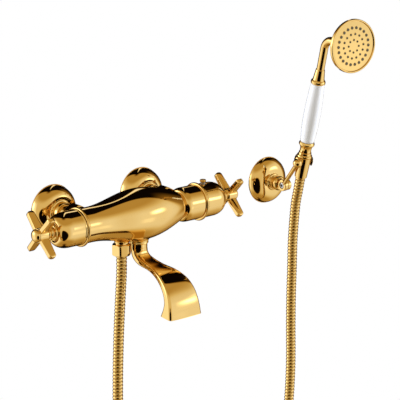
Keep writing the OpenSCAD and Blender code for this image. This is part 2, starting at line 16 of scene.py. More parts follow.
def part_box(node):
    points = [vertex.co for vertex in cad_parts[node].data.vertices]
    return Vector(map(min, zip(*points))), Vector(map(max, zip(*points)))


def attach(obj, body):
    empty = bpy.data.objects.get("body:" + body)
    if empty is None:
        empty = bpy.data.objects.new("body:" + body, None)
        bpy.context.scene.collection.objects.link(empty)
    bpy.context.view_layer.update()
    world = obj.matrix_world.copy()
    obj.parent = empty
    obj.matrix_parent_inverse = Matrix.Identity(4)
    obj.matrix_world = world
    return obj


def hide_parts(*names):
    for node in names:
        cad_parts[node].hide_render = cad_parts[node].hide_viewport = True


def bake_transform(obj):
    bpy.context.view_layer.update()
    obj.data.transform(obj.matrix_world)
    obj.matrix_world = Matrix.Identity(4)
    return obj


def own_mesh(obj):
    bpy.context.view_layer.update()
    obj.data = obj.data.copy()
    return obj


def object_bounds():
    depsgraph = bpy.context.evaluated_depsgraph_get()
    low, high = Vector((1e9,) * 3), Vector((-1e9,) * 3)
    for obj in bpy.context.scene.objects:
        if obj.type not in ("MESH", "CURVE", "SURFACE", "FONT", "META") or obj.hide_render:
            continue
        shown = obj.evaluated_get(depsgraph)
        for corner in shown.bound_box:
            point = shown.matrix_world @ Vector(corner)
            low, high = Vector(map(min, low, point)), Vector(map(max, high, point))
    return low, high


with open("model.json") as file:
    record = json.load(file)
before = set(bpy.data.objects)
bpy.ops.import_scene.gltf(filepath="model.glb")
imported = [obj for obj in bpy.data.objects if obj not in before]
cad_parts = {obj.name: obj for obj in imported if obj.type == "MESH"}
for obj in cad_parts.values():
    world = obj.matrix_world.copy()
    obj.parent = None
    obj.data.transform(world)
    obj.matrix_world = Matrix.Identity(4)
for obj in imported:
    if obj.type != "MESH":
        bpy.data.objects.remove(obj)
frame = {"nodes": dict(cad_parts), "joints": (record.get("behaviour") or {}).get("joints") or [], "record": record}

bl_info = {
    "name": "Bath Faucet Finisher",
    "version": (1, 0, 0),
    "blender": (4, 5, 0),
    "location": "View3D > Sidebar > Faucet",
    "description": "Builds the visible surfaces of a wall mounted bath faucet with a hand shower",
    "category": "Object",
}

CAD_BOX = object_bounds()
MM = 0.001
JOINTS = {joint["name"]: joint for joint in frame["joints"]}


# --- places, in millimetres, worked out from the frame ---


def low(node):
    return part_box(node)[0] / MM


def high(node):
    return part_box(node)[1] / MM


def middle(node):
    return (low(node) + high(node)) / 2


AXIS = Vector((0, middle("temperature_spindle").y, 0))      # the mixer's own axis
BODY_END = high("mixer_body").x
FOOT = Vector(JOINTS["handset_twist"]["pos_m"]) / MM         # foot of the cone nut
GRIP_AXIS = Vector(JOINTS["handset_twist"]["axis"])
LEAN = math.atan2(-GRIP_AXIS.y, GRIP_AXIS.z)
KNUCKLE = Vector(JOINTS["holder_tilt"]["pos_m"]) / MM
OUTLET = middle("shower_outlet")
INLETS = [middle("hot_union").x, middle("cold_union").x]
HOLDER = Vector((middle("wall_plate").x, 0, middle("wall_plate").z))
SPOUT_TOP = low("spout_collar").z


# --- properties ---


class FaucetSizes(bpy.types.PropertyGroup):
    belly: bpy.props.FloatProperty(
        name="Belly", description="Radius of the swelling at the middle of the body",
        default=0.0355, unit="LENGTH")
    waist: bpy.props.FloatProperty(
        name="Waist", description="Radius of the body at the waists beside the belly",
        default=0.0235, unit="LENGTH")
    cover: bpy.props.FloatProperty(
        name="Cover plate", description="Radius of the round cover plates",
        default=(high("holder_rosette").x - HOLDER.x) * MM, unit="LENGTH")
    sleeve: bpy.props.FloatProperty(
        name="Sleeve", description="Radius of the turning handle sleeves",
        default=0.0238, unit="LENGTH")
    spoke: bpy.props.FloatProperty(
        name="Spoke reach", description="Reach of a handle's spokes from its axis",
        default=0.036, unit="LENGTH")
    spokes: bpy.props.IntProperty(
        name="Spokes", description="Number of spokes on each handle", default=4, min=3)
    neck: bpy.props.FloatProperty(
        name="Spout neck", description="Radius of the spout's round neck",
        default=0.0113, unit="LENGTH")
    hose: bpy.props.FloatProperty(
        name="Hose", description="Outer diameter of the wound hose",
        default=0.0145, unit="LENGTH")
    pitch: bpy.props.FloatProperty(
        name="Winding pitch", description="Distance between two turns of the hose's winding",
        default=0.005, unit="LENGTH")
    head: bpy.props.FloatProperty(
        name="Shower head", description="Radius of the hand shower's head",
        default=0.0376, unit="LENGTH")
    head_turn: bpy.props.FloatProperty(
        name="Head turn", description="Turn of the head about the grip",
        default=math.radians(-7), subtype="ANGLE")


class FaucetFinishes(bpy.types.PropertyGroup):
    gold: bpy.props.FloatVectorProperty(
        name="Gold", description="Colour of the polished gold plate", subtype="COLOR",
        default=(0.84, 0.59, 0.23), min=0, max=1)
    gold_deep: bpy.props.FloatVectorProperty(
        name="Deep gold", description="Darker tone that wanders through the plate", subtype="COLOR",
        default=(0.80, 0.54, 0.185), min=0, max=1)
    brass: bpy.props.FloatVectorProperty(
        name="Brass", description="Colour of unplated machined brass", subtype="COLOR",
        default=(0.66, 0.50, 0.24), min=0, max=1)
    porcelain: bpy.props.FloatVectorProperty(
        name="Porcelain", description="Colour of the glazed grip", subtype="COLOR",
        default=(0.745, 0.80, 0.93), min=0, max=1)
    rubber: bpy.props.FloatVectorProperty(
        name="Rubber", description="Colour of seals and nozzles", subtype="COLOR",
        default=(0.060, 0.052, 0.034), min=0, max=1)
    plastic: bpy.props.FloatVectorProperty(
        name="Plastic", description="Colour of the inner plastic parts", subtype="COLOR",
        default=(0.40, 0.41, 0.43), min=0, max=1)
    steel: bpy.props.FloatVectorProperty(
        name="Steel", description="Colour of screws and the fixing plate", subtype="COLOR",
        default=(0.56, 0.56, 0.57), min=0, max=1)
    polish: bpy.props.FloatProperty(
        name="Polish", description="Roughness of the polished gold", default=0.035, min=0, max=1)


class FaucetStudio(bpy.types.PropertyGroup):
    distance: bpy.props.FloatProperty(
        name="Camera distance", description="Distance from the camera to the object",
        default=2.5358, unit="LENGTH")
    azimuth: bpy.props.FloatProperty(
        name="Azimuth", description="How far to the left of the wall's normal the camera stands",
        default=math.radians(39.88), subtype="ANGLE")
    height: bpy.props.FloatProperty(
        name="Elevation", description="How far above the object the camera stands",
        default=math.radians(14.90), subtype="ANGLE")
    aim_right: bpy.props.FloatProperty(
        name="Aim right", description="Shift of the point looked at, to the right",
        default=0.14224, unit="LENGTH")
    lens: bpy.props.FloatProperty(
        name="Lens", description="Focal length on a 36 mm wide sensor", default=165.92)
    key: bpy.props.FloatProperty(
        name="Key light", description="Brightness of the soft studio light", default=1.0)


def sizes():
    return bpy.context.scene.faucet_sizes


def finishes():
    return bpy.context.scene.faucet_finishes


# --- nodes, and the materials made with them ---


def feed(tree, node, inputs):
    """Sets a node's inputs: each is a value, or another node's output to link."""
    for key, value in inputs.items():
        if isinstance(value, bpy.types.NodeSocket):
            tree.links.new(value, node.inputs[key])
        else:
            node.inputs[key].default_value = value
    return node


def node_with(tree, kind, inputs=None, **settings):
    made = tree.nodes.new(kind)
    for key, value in settings.items():
        setattr(made, key, value)
    return feed(tree, made, inputs or {})


def math_node(tree, operation, *values):
    """A Math node whose inputs are sockets or numbers; returns its output socket."""
    return node_with(tree, "ShaderNodeMath", dict(enumerate(values)), operation=operation).outputs[0]


def shader_group(name, inputs, outputs):
    """An empty shader node group with the named sockets: name to (type, default)."""
    tree = bpy.data.node_groups.new(name, "ShaderNodeTree")
    for label, (kind, value) in inputs.items():
        socket = tree.interface.new_socket(label, in_out="INPUT", socket_type=kind)
        if value is not None:
            socket.default_value = value
    for label, kind in outputs.items():
        tree.interface.new_socket(label, in_out="OUTPUT", socket_type=kind)
    return tree, tree.nodes.new("NodeGroupInput"), tree.nodes.new("NodeGroupOutput")


def wander_group():
    """Slow drift of a value over a surface, and the fine handling marks of a polished one."""
    if "wander" in bpy.data.node_groups:
        return bpy.data.node_groups["wander"]
    tree, source, target = shader_group(
        "wander",
        {"Vector": ("NodeSocketVector", None), "Drift Scale": ("NodeSocketFloat", 30.0),
         "Mark Scale": ("NodeSocketFloat", 900.0), "Marks": ("NodeSocketFloat", 0.3)},
        {"Drift": "NodeSocketFloat", "Marks": "NodeSocketFloat", "Height": "NodeSocketFloat"})
    own = source.outputs
    drift = node_with(tree, "ShaderNodeTexNoise", {
        "Vector": own["Vector"], "Scale": own["Drift Scale"], "Detail": 3}).outputs["Fac"]
    stretch = node_with(tree, "ShaderNodeMapping", {
        "Vector": own["Vector"], "Scale": (0.25, 1.0, 1.0)})
    marks = node_with(tree, "ShaderNodeTexNoise", {
        "Vector": stretch.outputs["Vector"], "Scale": own["Mark Scale"], "Detail": 4,
        "Roughness": 0.7})
    shaped = node_with(tree, "ShaderNodeMapRange", {
        "Value": marks.outputs["Fac"], "From Min": 0.55, "From Max": 0.8})
    strength = math_node(tree, "MULTIPLY", shaped.outputs["Result"], own["Marks"])
    feed(tree, target, {"Drift": drift, "Marks": strength,
                        "Height": math_node(tree, "ADD", drift, strength)})
    return tree


def surface(name, colour, colour_far, metallic, rough, rough_far, relief=0.0, coat=0.0,
            shade=None):
    """A material whose colour and roughness wander, with faint marks as relief.

    Where shade names an attribute, the colour darkens as the attribute falls: painted shade, as in the hose's
    valleys between its ridges.
    """
    made = bpy.data.materials.get(name)
    if made:
        return made
    made = bpy.data.materials.new(name)
    made.use_nodes = True
    tree = made.node_tree
    place = tree.nodes.new("ShaderNodeTexCoord").outputs["Object"]
    wander = node_with(tree, "ShaderNodeGroup", node_tree=wander_group())
    feed(tree, wander, {"Vector": place})
    drift, height = wander.outputs["Drift"], wander.outputs["Height"]
    paint = node_with(tree, "ShaderNodeMix", {
        "Factor": drift, "A": (*colour, 1), "B": (*colour_far, 1)}, data_type="RGBA")
    gloss = node_with(tree, "ShaderNodeMapRange", {
        "Value": height, "From Min": 0.3, "From Max": 1.0, "To Min": rough, "To Max": rough_far})
    if shade:
        # painted shade: the colour falls to a dark brown where the attribute is low, as in the hose's valleys
        painted_valley_shade = node_with(tree, "ShaderNodeAttribute", attribute_name=shade)
        paint = node_with(tree, "ShaderNodeMix", {
            "Factor": painted_valley_shade.outputs["Fac"], "A": (0.20, 0.10, 0.02, 1),
            "B": paint.outputs["Result"]}, data_type="RGBA")
    looks = {"Base Color": paint.outputs["Result"], "Roughness": gloss.outputs["Result"],
             "Metallic": metallic, "Coat Weight": coat, "Coat Roughness": 0.03}
    if relief:
        bump = node_with(tree, "ShaderNodeBump", {
            "Strength": relief, "Distance": 0.0001, "Height": height})
        looks["Normal"] = bump.outputs["Normal"]
    feed(tree, tree.nodes["Principled BSDF"], looks)
    return made


def polished_gold():
    f = finishes()
    return surface("mirror gold", f.gold, f.gold_deep, 1.0, f.polish, f.polish + 0.03,
                   relief=0.03)


def hose_gold():
    f = finishes()
    # the crest attribute paints shade into the valleys between the hose's ridges
    return surface("wound gold", f.gold, f.gold_deep, 1.0, 0.14, 0.22, shade="crest")


def raw_brass():
    f = finishes()
    return surface("machined brass", f.brass, [c * 0.8 for c in f.brass], 1.0, 0.24, 0.36,
                   relief=0.15)


def glazed_porcelain():
    f = finishes()
    return surface("glazed porcelain", f.porcelain, [c * 0.97 for c in f.porcelain], 0.0,
                   0.10, 0.16, coat=0.6, relief=0.05)


def black_rubber():
    f = finishes()
    return surface("dark rubber", f.rubber, [c * 1.6 for c in f.rubber], 0.0, 0.45, 0.6,
                   relief=0.3)


def grey_plastic():
    f = finishes()
    return surface("moulded plastic", f.plastic, [c * 0.9 for c in f.plastic], 0.0, 0.4, 0.5,
                   relief=0.2)


def plain_steel():
    f = finishes()
    return surface("bright steel", f.steel, [c * 0.85 for c in f.steel], 1.0, 0.25, 0.38,
                   relief=0.15)


# --- meshes ---


def finish_mesh(name, mesh, material, sharp=38):
    """Merges doubles, turns the faces outwards and shades smooth up to the sharp angle."""
    work = bmesh.new()
    work.from_mesh(mesh)
    bmesh.ops.remove_doubles(work, verts=work.verts, dist=1e-7)
    bmesh.ops.dissolve_degenerate(work, edges=work.edges, dist=1e-8)
    bmesh.ops.recalc_face_normals(work, faces=work.faces)
    work.to_mesh(mesh)
    work.free()
    mesh.shade_smooth()
    mesh.set_sharp_from_angle(angle=math.radians(sharp))
    mesh.materials.clear()
    mesh.materials.append(material)
    piece = bpy.data.objects.new(name, mesh)
    bpy.context.scene.collection.objects.link(piece)
    return piece


def piece_from(name, shells, material, sharp=38):
    """One piece from closed shells, each a pair of points in millimetres and faces."""
    points, faces = [], []
    for shell_points, shell_faces in shells:
        start = len(points)
        points += [Vector(p) * MM for p in shell_points]
        faces += [[start + i for i in face] for face in shell_faces]
    mesh = bpy.data.meshes.new(name)
    mesh.from_pydata(points, [], faces)
    return finish_mesh(name, mesh, material, sharp)


def rounded(corners, fillet=0.4, steps=4):
    """Closed outline with its corners rounded; a corner may carry its own radius."""
    out = []
    count = len(corners)
    for i, corner in enumerate(corners):
        here = Vector(corner[:2])
        radius = corner[2] if len(corner) > 2 else fillet
        before = Vector(corners[i - 1][:2]) - here
        after = Vector(corners[(i + 1) % count][:2]) - here
        room = 0.45 * min(before.length, after.length)
        if radius <= 0 or here.x < 1e-6 or room < 1e-6:
            out.append(here)
            continue
        bend = before.angle(after, math.pi)
        if bend > math.radians(172):
            out.append(here)
            continue
        reach = min(room, radius / math.tan(bend / 2))
        first, last = here + before.normalized() * reach, here + after.normalized() * reach
        for k in range(steps + 1):
            t = k / steps
            out.append((1 - t) ** 2 * first + 2 * t * (1 - t) * here + t * t * last)
    return out


def turned(outline, place, segments=96, round_to=0.4):
    """Shell turned about the local z axis from an outline of (radius, height) corners."""
    outline = rounded(outline, round_to) if round_to else [Vector(p[:2]) for p in outline]
    points, rings = [], []
    for p in outline:
        if p.x < 1e-6:
            rings.append([len(points)])
            points.append(place @ Vector((0, 0, p.y)))
            continue
        rings.append(list(range(len(points), len(points) + segments)))
        for k in range(segments):
            a = 2 * math.pi * k / segments
            points.append(place @ Vector((p.x * math.cos(a), p.x * math.sin(a), p.y)))
    return points, bridged(rings, closed=True)


def bridged(rings, closed=False):
    """Faces between consecutive rings; a ring of one point is a pole."""
    faces = []
    pairs = list(zip(rings, rings[1:]))
    if closed:
        pairs.append((rings[-1], rings[0]))
    for a, b in pairs:
        if len(a) == 1 and len(b) == 1:
            continue
        n = max(len(a), len(b))
        for k in range(n):
            j = (k + 1) % n
            corners = [a[k % len(a)], a[j % len(a)], b[j % len(b)], b[k % len(b)]]
            faces.append(list(dict.fromkeys(corners)))
    return faces


def lofted(rings):
    """Shell through rings of points of equal length, with its ends closed."""
    count = len(rings[0])
    indices = [list(range(i * count, (i + 1) * count)) for i in range(len(rings))]
    points = [p for ring in rings for p in ring]
    return points, bridged(indices) + [indices[0][::-1], indices[-1]]


def frame_at(origin, along, across=(1, 0, 0)):
    """Matrix of a local frame: z points along, x close to across."""
    z = Vector(along).normalized()
    x = Vector(across) - z * z.dot(Vector(across))
    x.normalize()
    y = z.cross(x)
    turn = Matrix((x, y, z)).transposed().to_4x4()
    return Matrix.Translation(Vector(origin)) @ turn


def rightwards(side=1):
    """Frame on the mixer's axis whose z points right, or left for side -1."""
    return frame_at(AXIS, (side, 0, 0), (0, 0, 1))


def out_of_wall(x, z):
    return frame_at((x, 0, z), (0, -1, 0))


def at_handset():
    return Matrix.Translation(FOOT) @ Matrix.Rotation(LEAN, 4, "X")


HEAD_JOINT = 213.0    # where the grip's axis meets the head's axis, from the foot


def at_head():
    return (at_handset() @ Matrix.Rotation(sizes().head_turn, 4, "Z")
            @ Matrix.Translation((0, 0, HEAD_JOINT))
            @ Matrix.Rotation(math.radians(90) - LEAN, 4, "X"))


def settle(piece, body, node):
    """The piece rides on its body and stands for its CAD node, which is hidden."""
    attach(piece, body)
    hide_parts(node)


def gilded(name, shells, body, node, sharp=38):
    """A polished gold piece on its body, in the place of its CAD node."""
    settle(piece_from(name, shells, polished_gold(), sharp), body, node)


def curved(a, b, c, d, u):
    """Smooth way from b to c, with a before and d after them."""
    return 0.5 * (2 * b + (c - a) * u + (2 * a - 5 * b + 4 * c - d) * u * u
                  + (3 * b - a - 3 * c + d) * u ** 3)


def smooth_path(points, per_span):
    """Points along the smooth curve through the given points, as the CAD route runs."""
    pts = [Vector(p) for p in points]
    out = []
    for i in range(len(pts) - 1):
        around = pts[max(i - 1, 0)], pts[i], pts[i + 1], pts[min(i + 2, len(pts) - 1)]
        out += [curved(*around, k / per_span) for k in range(per_span)]
    return out + [pts[-1]]


def blend_value(stations, at):
    """Smoothly read a value from a list of (place, value) stations."""
    places, values = zip(*stations)
    last = len(places) - 1
    i = max(0, min(last - 1, int(np.searchsorted(places, at)) - 1))
    u = (at - places[i]) / (places[i + 1] - places[i])
    return curved(*(values[max(0, min(last, i + k))] for k in (-1, 0, 1, 2)), u)


# --- geometry node trees ---


def geometry_tree(name, inputs):
    tree = bpy.data.node_groups.new(name, "GeometryNodeTree")
    tree.interface.new_socket("Geometry", in_out="INPUT", socket_type="NodeSocketGeometry")
    for label, kind in inputs.items():
        tree.interface.new_socket(label, in_out="INPUT", socket_type=kind)
    tree.interface.new_socket("Geometry", in_out="OUTPUT", socket_type="NodeSocketGeometry")
    return tree, tree.nodes.new("NodeGroupInput"), tree.nodes.new("NodeGroupOutput")


def painted(tree, source, target, shape):
    """Ends a tree: the shape takes the tree's material and goes out."""
    paint = node_with(tree, "GeometryNodeSetMaterial", {
        "Geometry": shape, "Material": source.outputs["Material"]})
    feed(tree, target, {"Geometry": paint.outputs["Geometry"]})
    return tree


def ring_tree():
    """Repeats a shape evenly about the z axis."""
    if "ring_of" in bpy.data.node_groups:
        return bpy.data.node_groups["ring_of"]
    tree, source, target = geometry_tree(
        "ring_of", {"Count": "NodeSocketInt", "Start Angle": "NodeSocketFloat",
                    "Material": "NodeSocketMaterial"})
    own = source.outputs
    line = node_with(tree, "GeometryNodeMeshLine", {"Count": own["Count"], "Offset": (0, 0, 0)})
    index = node_with(tree, "GeometryNodeInputIndex").outputs[0]
    step = math_node(tree, "DIVIDE", 2 * math.pi, own["Count"])
    turn = math_node(tree, "ADD", math_node(tree, "MULTIPLY", index, step), own["Start Angle"])
    angles = node_with(tree, "ShaderNodeCombineXYZ", {"Z": turn})
    copies = node_with(tree, "GeometryNodeInstanceOnPoints", {
        "Points": line.outputs["Mesh"], "Instance": own["Geometry"],
        "Rotation": angles.outputs["Vector"]})
    real = node_with(tree, "GeometryNodeRealizeInstances", {"Geometry": copies.outputs["Instances"]})
    return painted(tree, source, target, real.outputs["Geometry"])


def hose_tree():
    """Sweeps a round tube along a curve and winds a ridge around it."""
    tree, source, target = geometry_tree(
        "wound_hose", {"Radius": "NodeSocketFloat", "Pitch": "NodeSocketFloat",
                       "Ridge": "NodeSocketFloat", "Rings Per Turn": "NodeSocketFloat",
                       "Start": "NodeSocketFloat", "Material": "NodeSocketMaterial"})
    own = source.outputs
    here = node_with(tree, "GeometryNodeInputPosition").outputs[0]
    along = node_with(tree, "GeometryNodeSplineParameter").outputs
    even = node_with(tree, "GeometryNodeResampleCurve", {
        "Curve": own["Geometry"],
        "Length": math_node(tree, "DIVIDE", own["Pitch"], own["Rings Per Turn"])}, mode="LENGTH")
    centre = node_with(tree, "GeometryNodeCaptureAttribute", domain="POINT")
    centre.capture_items.new("VECTOR", "Centre")
    centre.capture_items.new("FLOAT", "Run")
    feed(tree, centre, {"Geometry": even.outputs["Curve"], 1: here, 2: along["Length"]})
    circle = node_with(tree, "GeometryNodeCurvePrimitiveCircle", {
        "Resolution": 24, "Radius": own["Radius"]}, mode="RADIUS")
    around = node_with(tree, "GeometryNodeCaptureAttribute", domain="POINT")
    around.capture_items.new("FLOAT", "Around")
    feed(tree, around, {"Geometry": circle.outputs["Curve"], 1: along["Factor"]})
    tube = node_with(tree, "GeometryNodeCurveToMesh", {
        "Curve": centre.outputs["Geometry"], "Profile Curve": around.outputs["Geometry"],
        "Fill Caps": True})
    turns = math_node(tree, "DIVIDE", math_node(tree, "ADD", centre.outputs[2], own["Start"]),
                      own["Pitch"])
    phase = math_node(tree, "FRACT", math_node(tree, "SUBTRACT", turns, around.outputs[1]))
    wave = math_node(tree, "SINE", math_node(tree, "MULTIPLY", phase, math.pi))
    crest = math_node(tree, "POWER", wave, 0.7)
    drop = math_node(tree, "MULTIPLY", math_node(tree, "SUBTRACT", crest, 1.0), own["Ridge"])
    outward = node_with(tree, "ShaderNodeVectorMath", {0: here, 1: centre.outputs[1]},
                        operation="SUBTRACT")
    unit = node_with(tree, "ShaderNodeVectorMath", {0: outward.outputs[0]}, operation="NORMALIZE")
    shift = node_with(tree, "ShaderNodeVectorMath", {0: unit.outputs[0], "Scale": drop},
                      operation="SCALE")
    shape = node_with(tree, "GeometryNodeSetPosition", {
        "Geometry": tube.outputs["Mesh"], "Offset": shift.outputs[0]})
    # crest is 1 on the ridges and 0 in the valleys; the hose's material paints shade from it
    stored = node_with(tree, "GeometryNodeStoreNamedAttribute", {
        "Geometry": shape.outputs["Geometry"], "Name": "crest", "Value": crest},
        data_type="FLOAT", domain="POINT")
    return painted(tree, source, target, stored.outputs["Geometry"])


def run_tree(name, source, tree, values, smooth=38):
    """Evaluates a tree on an object and returns a plain object with the result."""
    modifier = source.modifiers.new("make", "NODES")
    modifier.node_group = tree
    for socket in tree.interface.items_tree:
        if socket.in_out == "INPUT" and socket.name in values:
            modifier[socket.identifier] = values[socket.name]
    evaluated = source.evaluated_get(bpy.context.evaluated_depsgraph_get())
    mesh = bpy.data.meshes.new_from_object(evaluated)
    source.modifiers.clear()
    bpy.data.objects.remove(source)
    return finish_mesh(name, mesh, values["Material"], smooth)


def ring_of(name, shells, count, place, material, start=0.0):
    """Copies of a shape evenly about the place's z axis, as a piece."""
    seed = piece_from(name + "_seed", shells, material)
    made = run_tree(name, seed, ring_tree(),
                    {"Count": count, "Start Angle": start, "Material": material})
    shift = place.copy()
    shift.translation = shift.translation * MM
    made.data.transform(shift)
    made.data.update()
    return made


def joined(name, pieces):
    """Several pieces of one body as one object that keeps the first one's materials."""
    bpy.ops.object.select_all(action="DESELECT")
    for piece in pieces:
        piece.select_set(True)
    bpy.context.view_layer.objects.active = pieces[0]
    bpy.ops.object.join()
    whole = bpy.context.view_layer.objects.active
    whole.name = name
    return whole


# --- hose ---

# Route of the hose's centre line in metres, from the outlet nut to the cone nut.
ROUTE = [
    (-0.0296, -0.094, -0.0524), (-0.0302, -0.094, -0.080), (-0.0324, -0.093, -0.120),
    (-0.0348, -0.092, -0.170), (-0.0354, -0.090, -0.230), (-0.034, -0.088, -0.300),
    (-0.028, -0.086, -0.365), (-0.015, -0.083, -0.430), (0.012, -0.080, -0.490),
    (0.053, -0.077, -0.536), (0.098, -0.074, -0.559), (0.141, -0.071, -0.566),
    (0.184, -0.068, -0.559), (0.229, -0.065, -0.536), (0.270, -0.062, -0.490),
    (0.297, -0.060, -0.430), (0.309, -0.059, -0.365), (0.313, -0.059, -0.300),
    (0.314, -0.057, -0.230), (0.314, -0.057, -0.185), (0.314, -0.058, -0.145),
    (0.313, -0.060, -0.100), (0.313, -0.0645, -0.050), (0.313, -0.070, -0.0243),
    (0.313, -0.0749, -0.0031),
]
LOWER_LAST = 20       # route point where the lower length ends


class FAUCET_OT_hose(bpy.types.Operator):
    """Wind the metal hose along its hanging route, in two lengths that meet end to end"""
    bl_idname = "faucet.hose"
    bl_label = "Hose"

    def execute(self, context):
        per_span = 12
        path = smooth_path(ROUTE, per_span)
        split = LOWER_LAST * per_span
        tree = hose_tree()
        start = 0.0
        for name, run in (("hose_lower", path[:split + 1]), ("hose_upper", path[split:])):
            length = sum((b - a).length for a, b in zip(run, run[1:]))
            piece = self.wound(name, run, tree, start)
            start += length
            self.declare(name, piece, run, length)
        return {"FINISHED"}

    def wound(self, name, run, tree, start):
        curve = bpy.data.curves.new(name, "CURVE")
        curve.dimensions = "3D"
        spline = curve.splines.new("POLY")
        spline.points.add(len(run) - 1)
        for point, place in zip(spline.points, run):
            point.co = (*place, 1)
        line = bpy.data.objects.new(name + "_line", curve)
        bpy.context.scene.collection.objects.link(line)
        return run_tree(name, line, tree, {
            "Radius": sizes().hose / 2, "Pitch": sizes().pitch, "Ridge": 0.0011,
            "Rings Per Turn": 8.0, "Start": start, "Material": hose_gold()}, 75)

    def declare(self, name, piece, run, length):
        if name == "hose_lower":
            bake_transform(piece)
        else:
            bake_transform(piece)
        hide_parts(name)


# --- mixer body ---

BELLY_LEFT = 84.0     # reach of the belly to the left waist
CREASE = 67.0         # crease that ends the belly on the right, where the barrel starts
CREASE_R = 19.2       # body radius in the crease
FLANK_POWER = 0.95    # above 1 the belly's right flank is leaner
BARREL_R = 23.8       # radius of the barrel to the right of the crease
SHOULDER = 9.0        # length over which the barrel rounds up from the crease
EDGE = 0.6            # rounding at the body's two ends
BACK, DOWN = (0, 1, 0), (0, 0, -1)


def body_radius(x):
    """Radius of the cast body at a place along its axis."""
    belly, waist = sizes().belly / MM, sizes().waist / MM
    if x >= CREASE:
        u = min(1, (x - CREASE) / SHOULDER)
        return CREASE_R + (BARREL_R - CREASE_R) * math.sqrt(max(0, 1 - (1 - u) ** 2))
    if x >= 0:
        fall = math.cos(math.pi / 2 * x / CREASE) ** FLANK_POWER
        return CREASE_R + (belly - CREASE_R) * fall
    u = min(1, -x / BELLY_LEFT)
    return waist + (belly - waist) * (0.5 + 0.5 * math.cos(math.pi * u))


def saddle_boss(centre_x, along, radius, fillet, end):
    """A round boss that leaves the body with a concave fillet; end is its far face."""
    segments, steps, edge_steps, edge_r = 72, 8, 3, 0.6
    down = Vector(along)
    side = Vector((1, 0, 0))
    cross = down.cross(side)

    def on_body(reach, a):
        across = reach * math.sin(a)
        r = body_radius(centre_x + reach * math.cos(a))
        return math.sqrt(max(1, r * r - across * across))

    rings = []
    for k in range(-1, steps + edge_steps + 1):
        ring = []
        for s in range(segments):
            a = 2 * math.pi * s / segments
            if k < 0:
                reach, depth = radius + fillet, on_body(radius + fillet, a) - 3
            elif k <= steps:
                t = k / steps
                outer, corner = on_body(radius + fillet, a) - 0.05, on_body(radius, a)
                reach = (1 - t) ** 2 * (radius + fillet) + 2 * t * (1 - t) * radius + t * t * radius
                depth = (1 - t) ** 2 * outer + 2 * t * (1 - t) * corner + t * t * (corner + fillet)
            else:
                turn = (k - steps) / edge_steps * math.pi / 2
                reach = radius - edge_r * (1 - math.cos(turn))
                depth = end - edge_r * (1 - math.sin(turn))
            ring.append(AXIS + side * (centre_x + reach * math.cos(a))
                        + cross * (reach * math.sin(a)) + down * depth)
        rings.append(ring)
    return lofted(rings)


class FAUCET_OT_mixer_body(bpy.types.Operator):
    """Turn the cast body with its belly, crease and barrel, and grow its bosses from it"""
    bl_idname = "faucet.mixer_body"
    bl_label = "Mixer body"

    def execute(self, context):
        belly_step, shoulder_step, barrel_step = 1.5, 0.35, 3
        stations = [*np.arange(-BODY_END + EDGE, CREASE, belly_step),
                    *np.arange(CREASE, CREASE + SHOULDER, shoulder_step),
                    *np.arange(CREASE + SHOULDER, BODY_END - EDGE, barrel_step)]
        left = body_radius(-BODY_END)
        outline = [(0, -BODY_END), (left - 0.7, -BODY_END), (left - 0.15, -BODY_END + 0.2)]
        outline += [(body_radius(x), x) for x in stations]
        outline += [(BARREL_R, BODY_END - EDGE), (BARREL_R - 0.2, BODY_END - 0.15),
                    (BARREL_R - 0.7, BODY_END), (0, BODY_END)]
        shells = [turned(outline, rightwards(), segments=144, round_to=0)]
        for x in INLETS:
            shells.append(saddle_boss(x, BACK, radius=13.1, fillet=3.0, end=-56 - AXIS.y))
        shells.append(saddle_boss(0, DOWN, radius=12.6, fillet=4.0, end=-SPOUT_TOP - 3))
        shells.append(saddle_boss(OUTLET.x, DOWN, radius=9.6, fillet=3.0, end=34))
        gilded("mixer_casting", shells, "mixer", "mixer_body", sharp=30)
        return {"FINISHED"}


# --- supply fittings ---


def hexagon_radius(half_flats, a):
    """Distance from a hexagon's middle to its side, at an angle."""
    return half_flats / math.cos((a + math.pi / 6) % (math.pi / 3) - math.pi / 6)


def hexagon_shell(flats, low_end, high_end, place):
    """Hexagonal prism along z whose corners are turned off at both ends."""
    points, edge, slope, chamfer = 48, 0.25, 1.6, 2.4
    corner = flats / 2 / math.cos(math.pi / 6)
    turned_r = corner - chamfer
    levels = [(low_end, turned_r - 0.5), (low_end + edge, turned_r + 0.1)]
    for k in range(1, 5):
        levels.append((low_end + edge + slope * k / 4, turned_r + 0.1 + (corner - turned_r) * k / 4))
    levels += [(high_end + low_end - z, r) for z, r in reversed(levels)]
    rings = []
    for z, limit in levels:
        ring = []
        for s in range(points):
            a = 2 * math.pi * s / points
            r = min(limit, hexagon_radius(flats / 2, a), corner - 0.25)
            ring.append(place @ Vector((r * math.cos(a), r * math.sin(a), z)))
        rings.append(ring)
    return lofted(rings)


def cover_plate(x, z, bore, depth, neck_out):
    """Domed plate with a fine rim, a stepped bead and a neck, open behind."""
    rim = sizes().cover / MM
    step = bore + 5
    dome = [(step + (rim - 0.8 - step) * math.cos(a), 0.9 + (depth - 0.9) * math.sin(a), 0)
            for a in np.linspace(0, math.pi / 2, 22)]
    under = [(step - 1 + (rim - 1.8 - step + 1) * math.cos(a), (depth - 1.8) * math.sin(a), 0)
             for a in np.linspace(math.pi / 2, 0, 14)]
    outline = ([(rim - 0.3, 0, 0.1), (rim, 0.5, 0.2), (rim - 0.5, 1.0, 0.2)] + dome
               + [(step - 0.4, depth + 0.1, 0.2), (step - 0.8, depth + 1.2, 0.4),
                  (step - 1.6, depth + 1.8, 0.5), (bore + 2.2, depth + 2.2, 0.6),
                  (bore + 1.8, neck_out, 0.5), (bore, neck_out, 0.2), (bore, depth - 1.8, 0)]
               + under)
    return turned(outline, out_of_wall(x, z), segments=120)


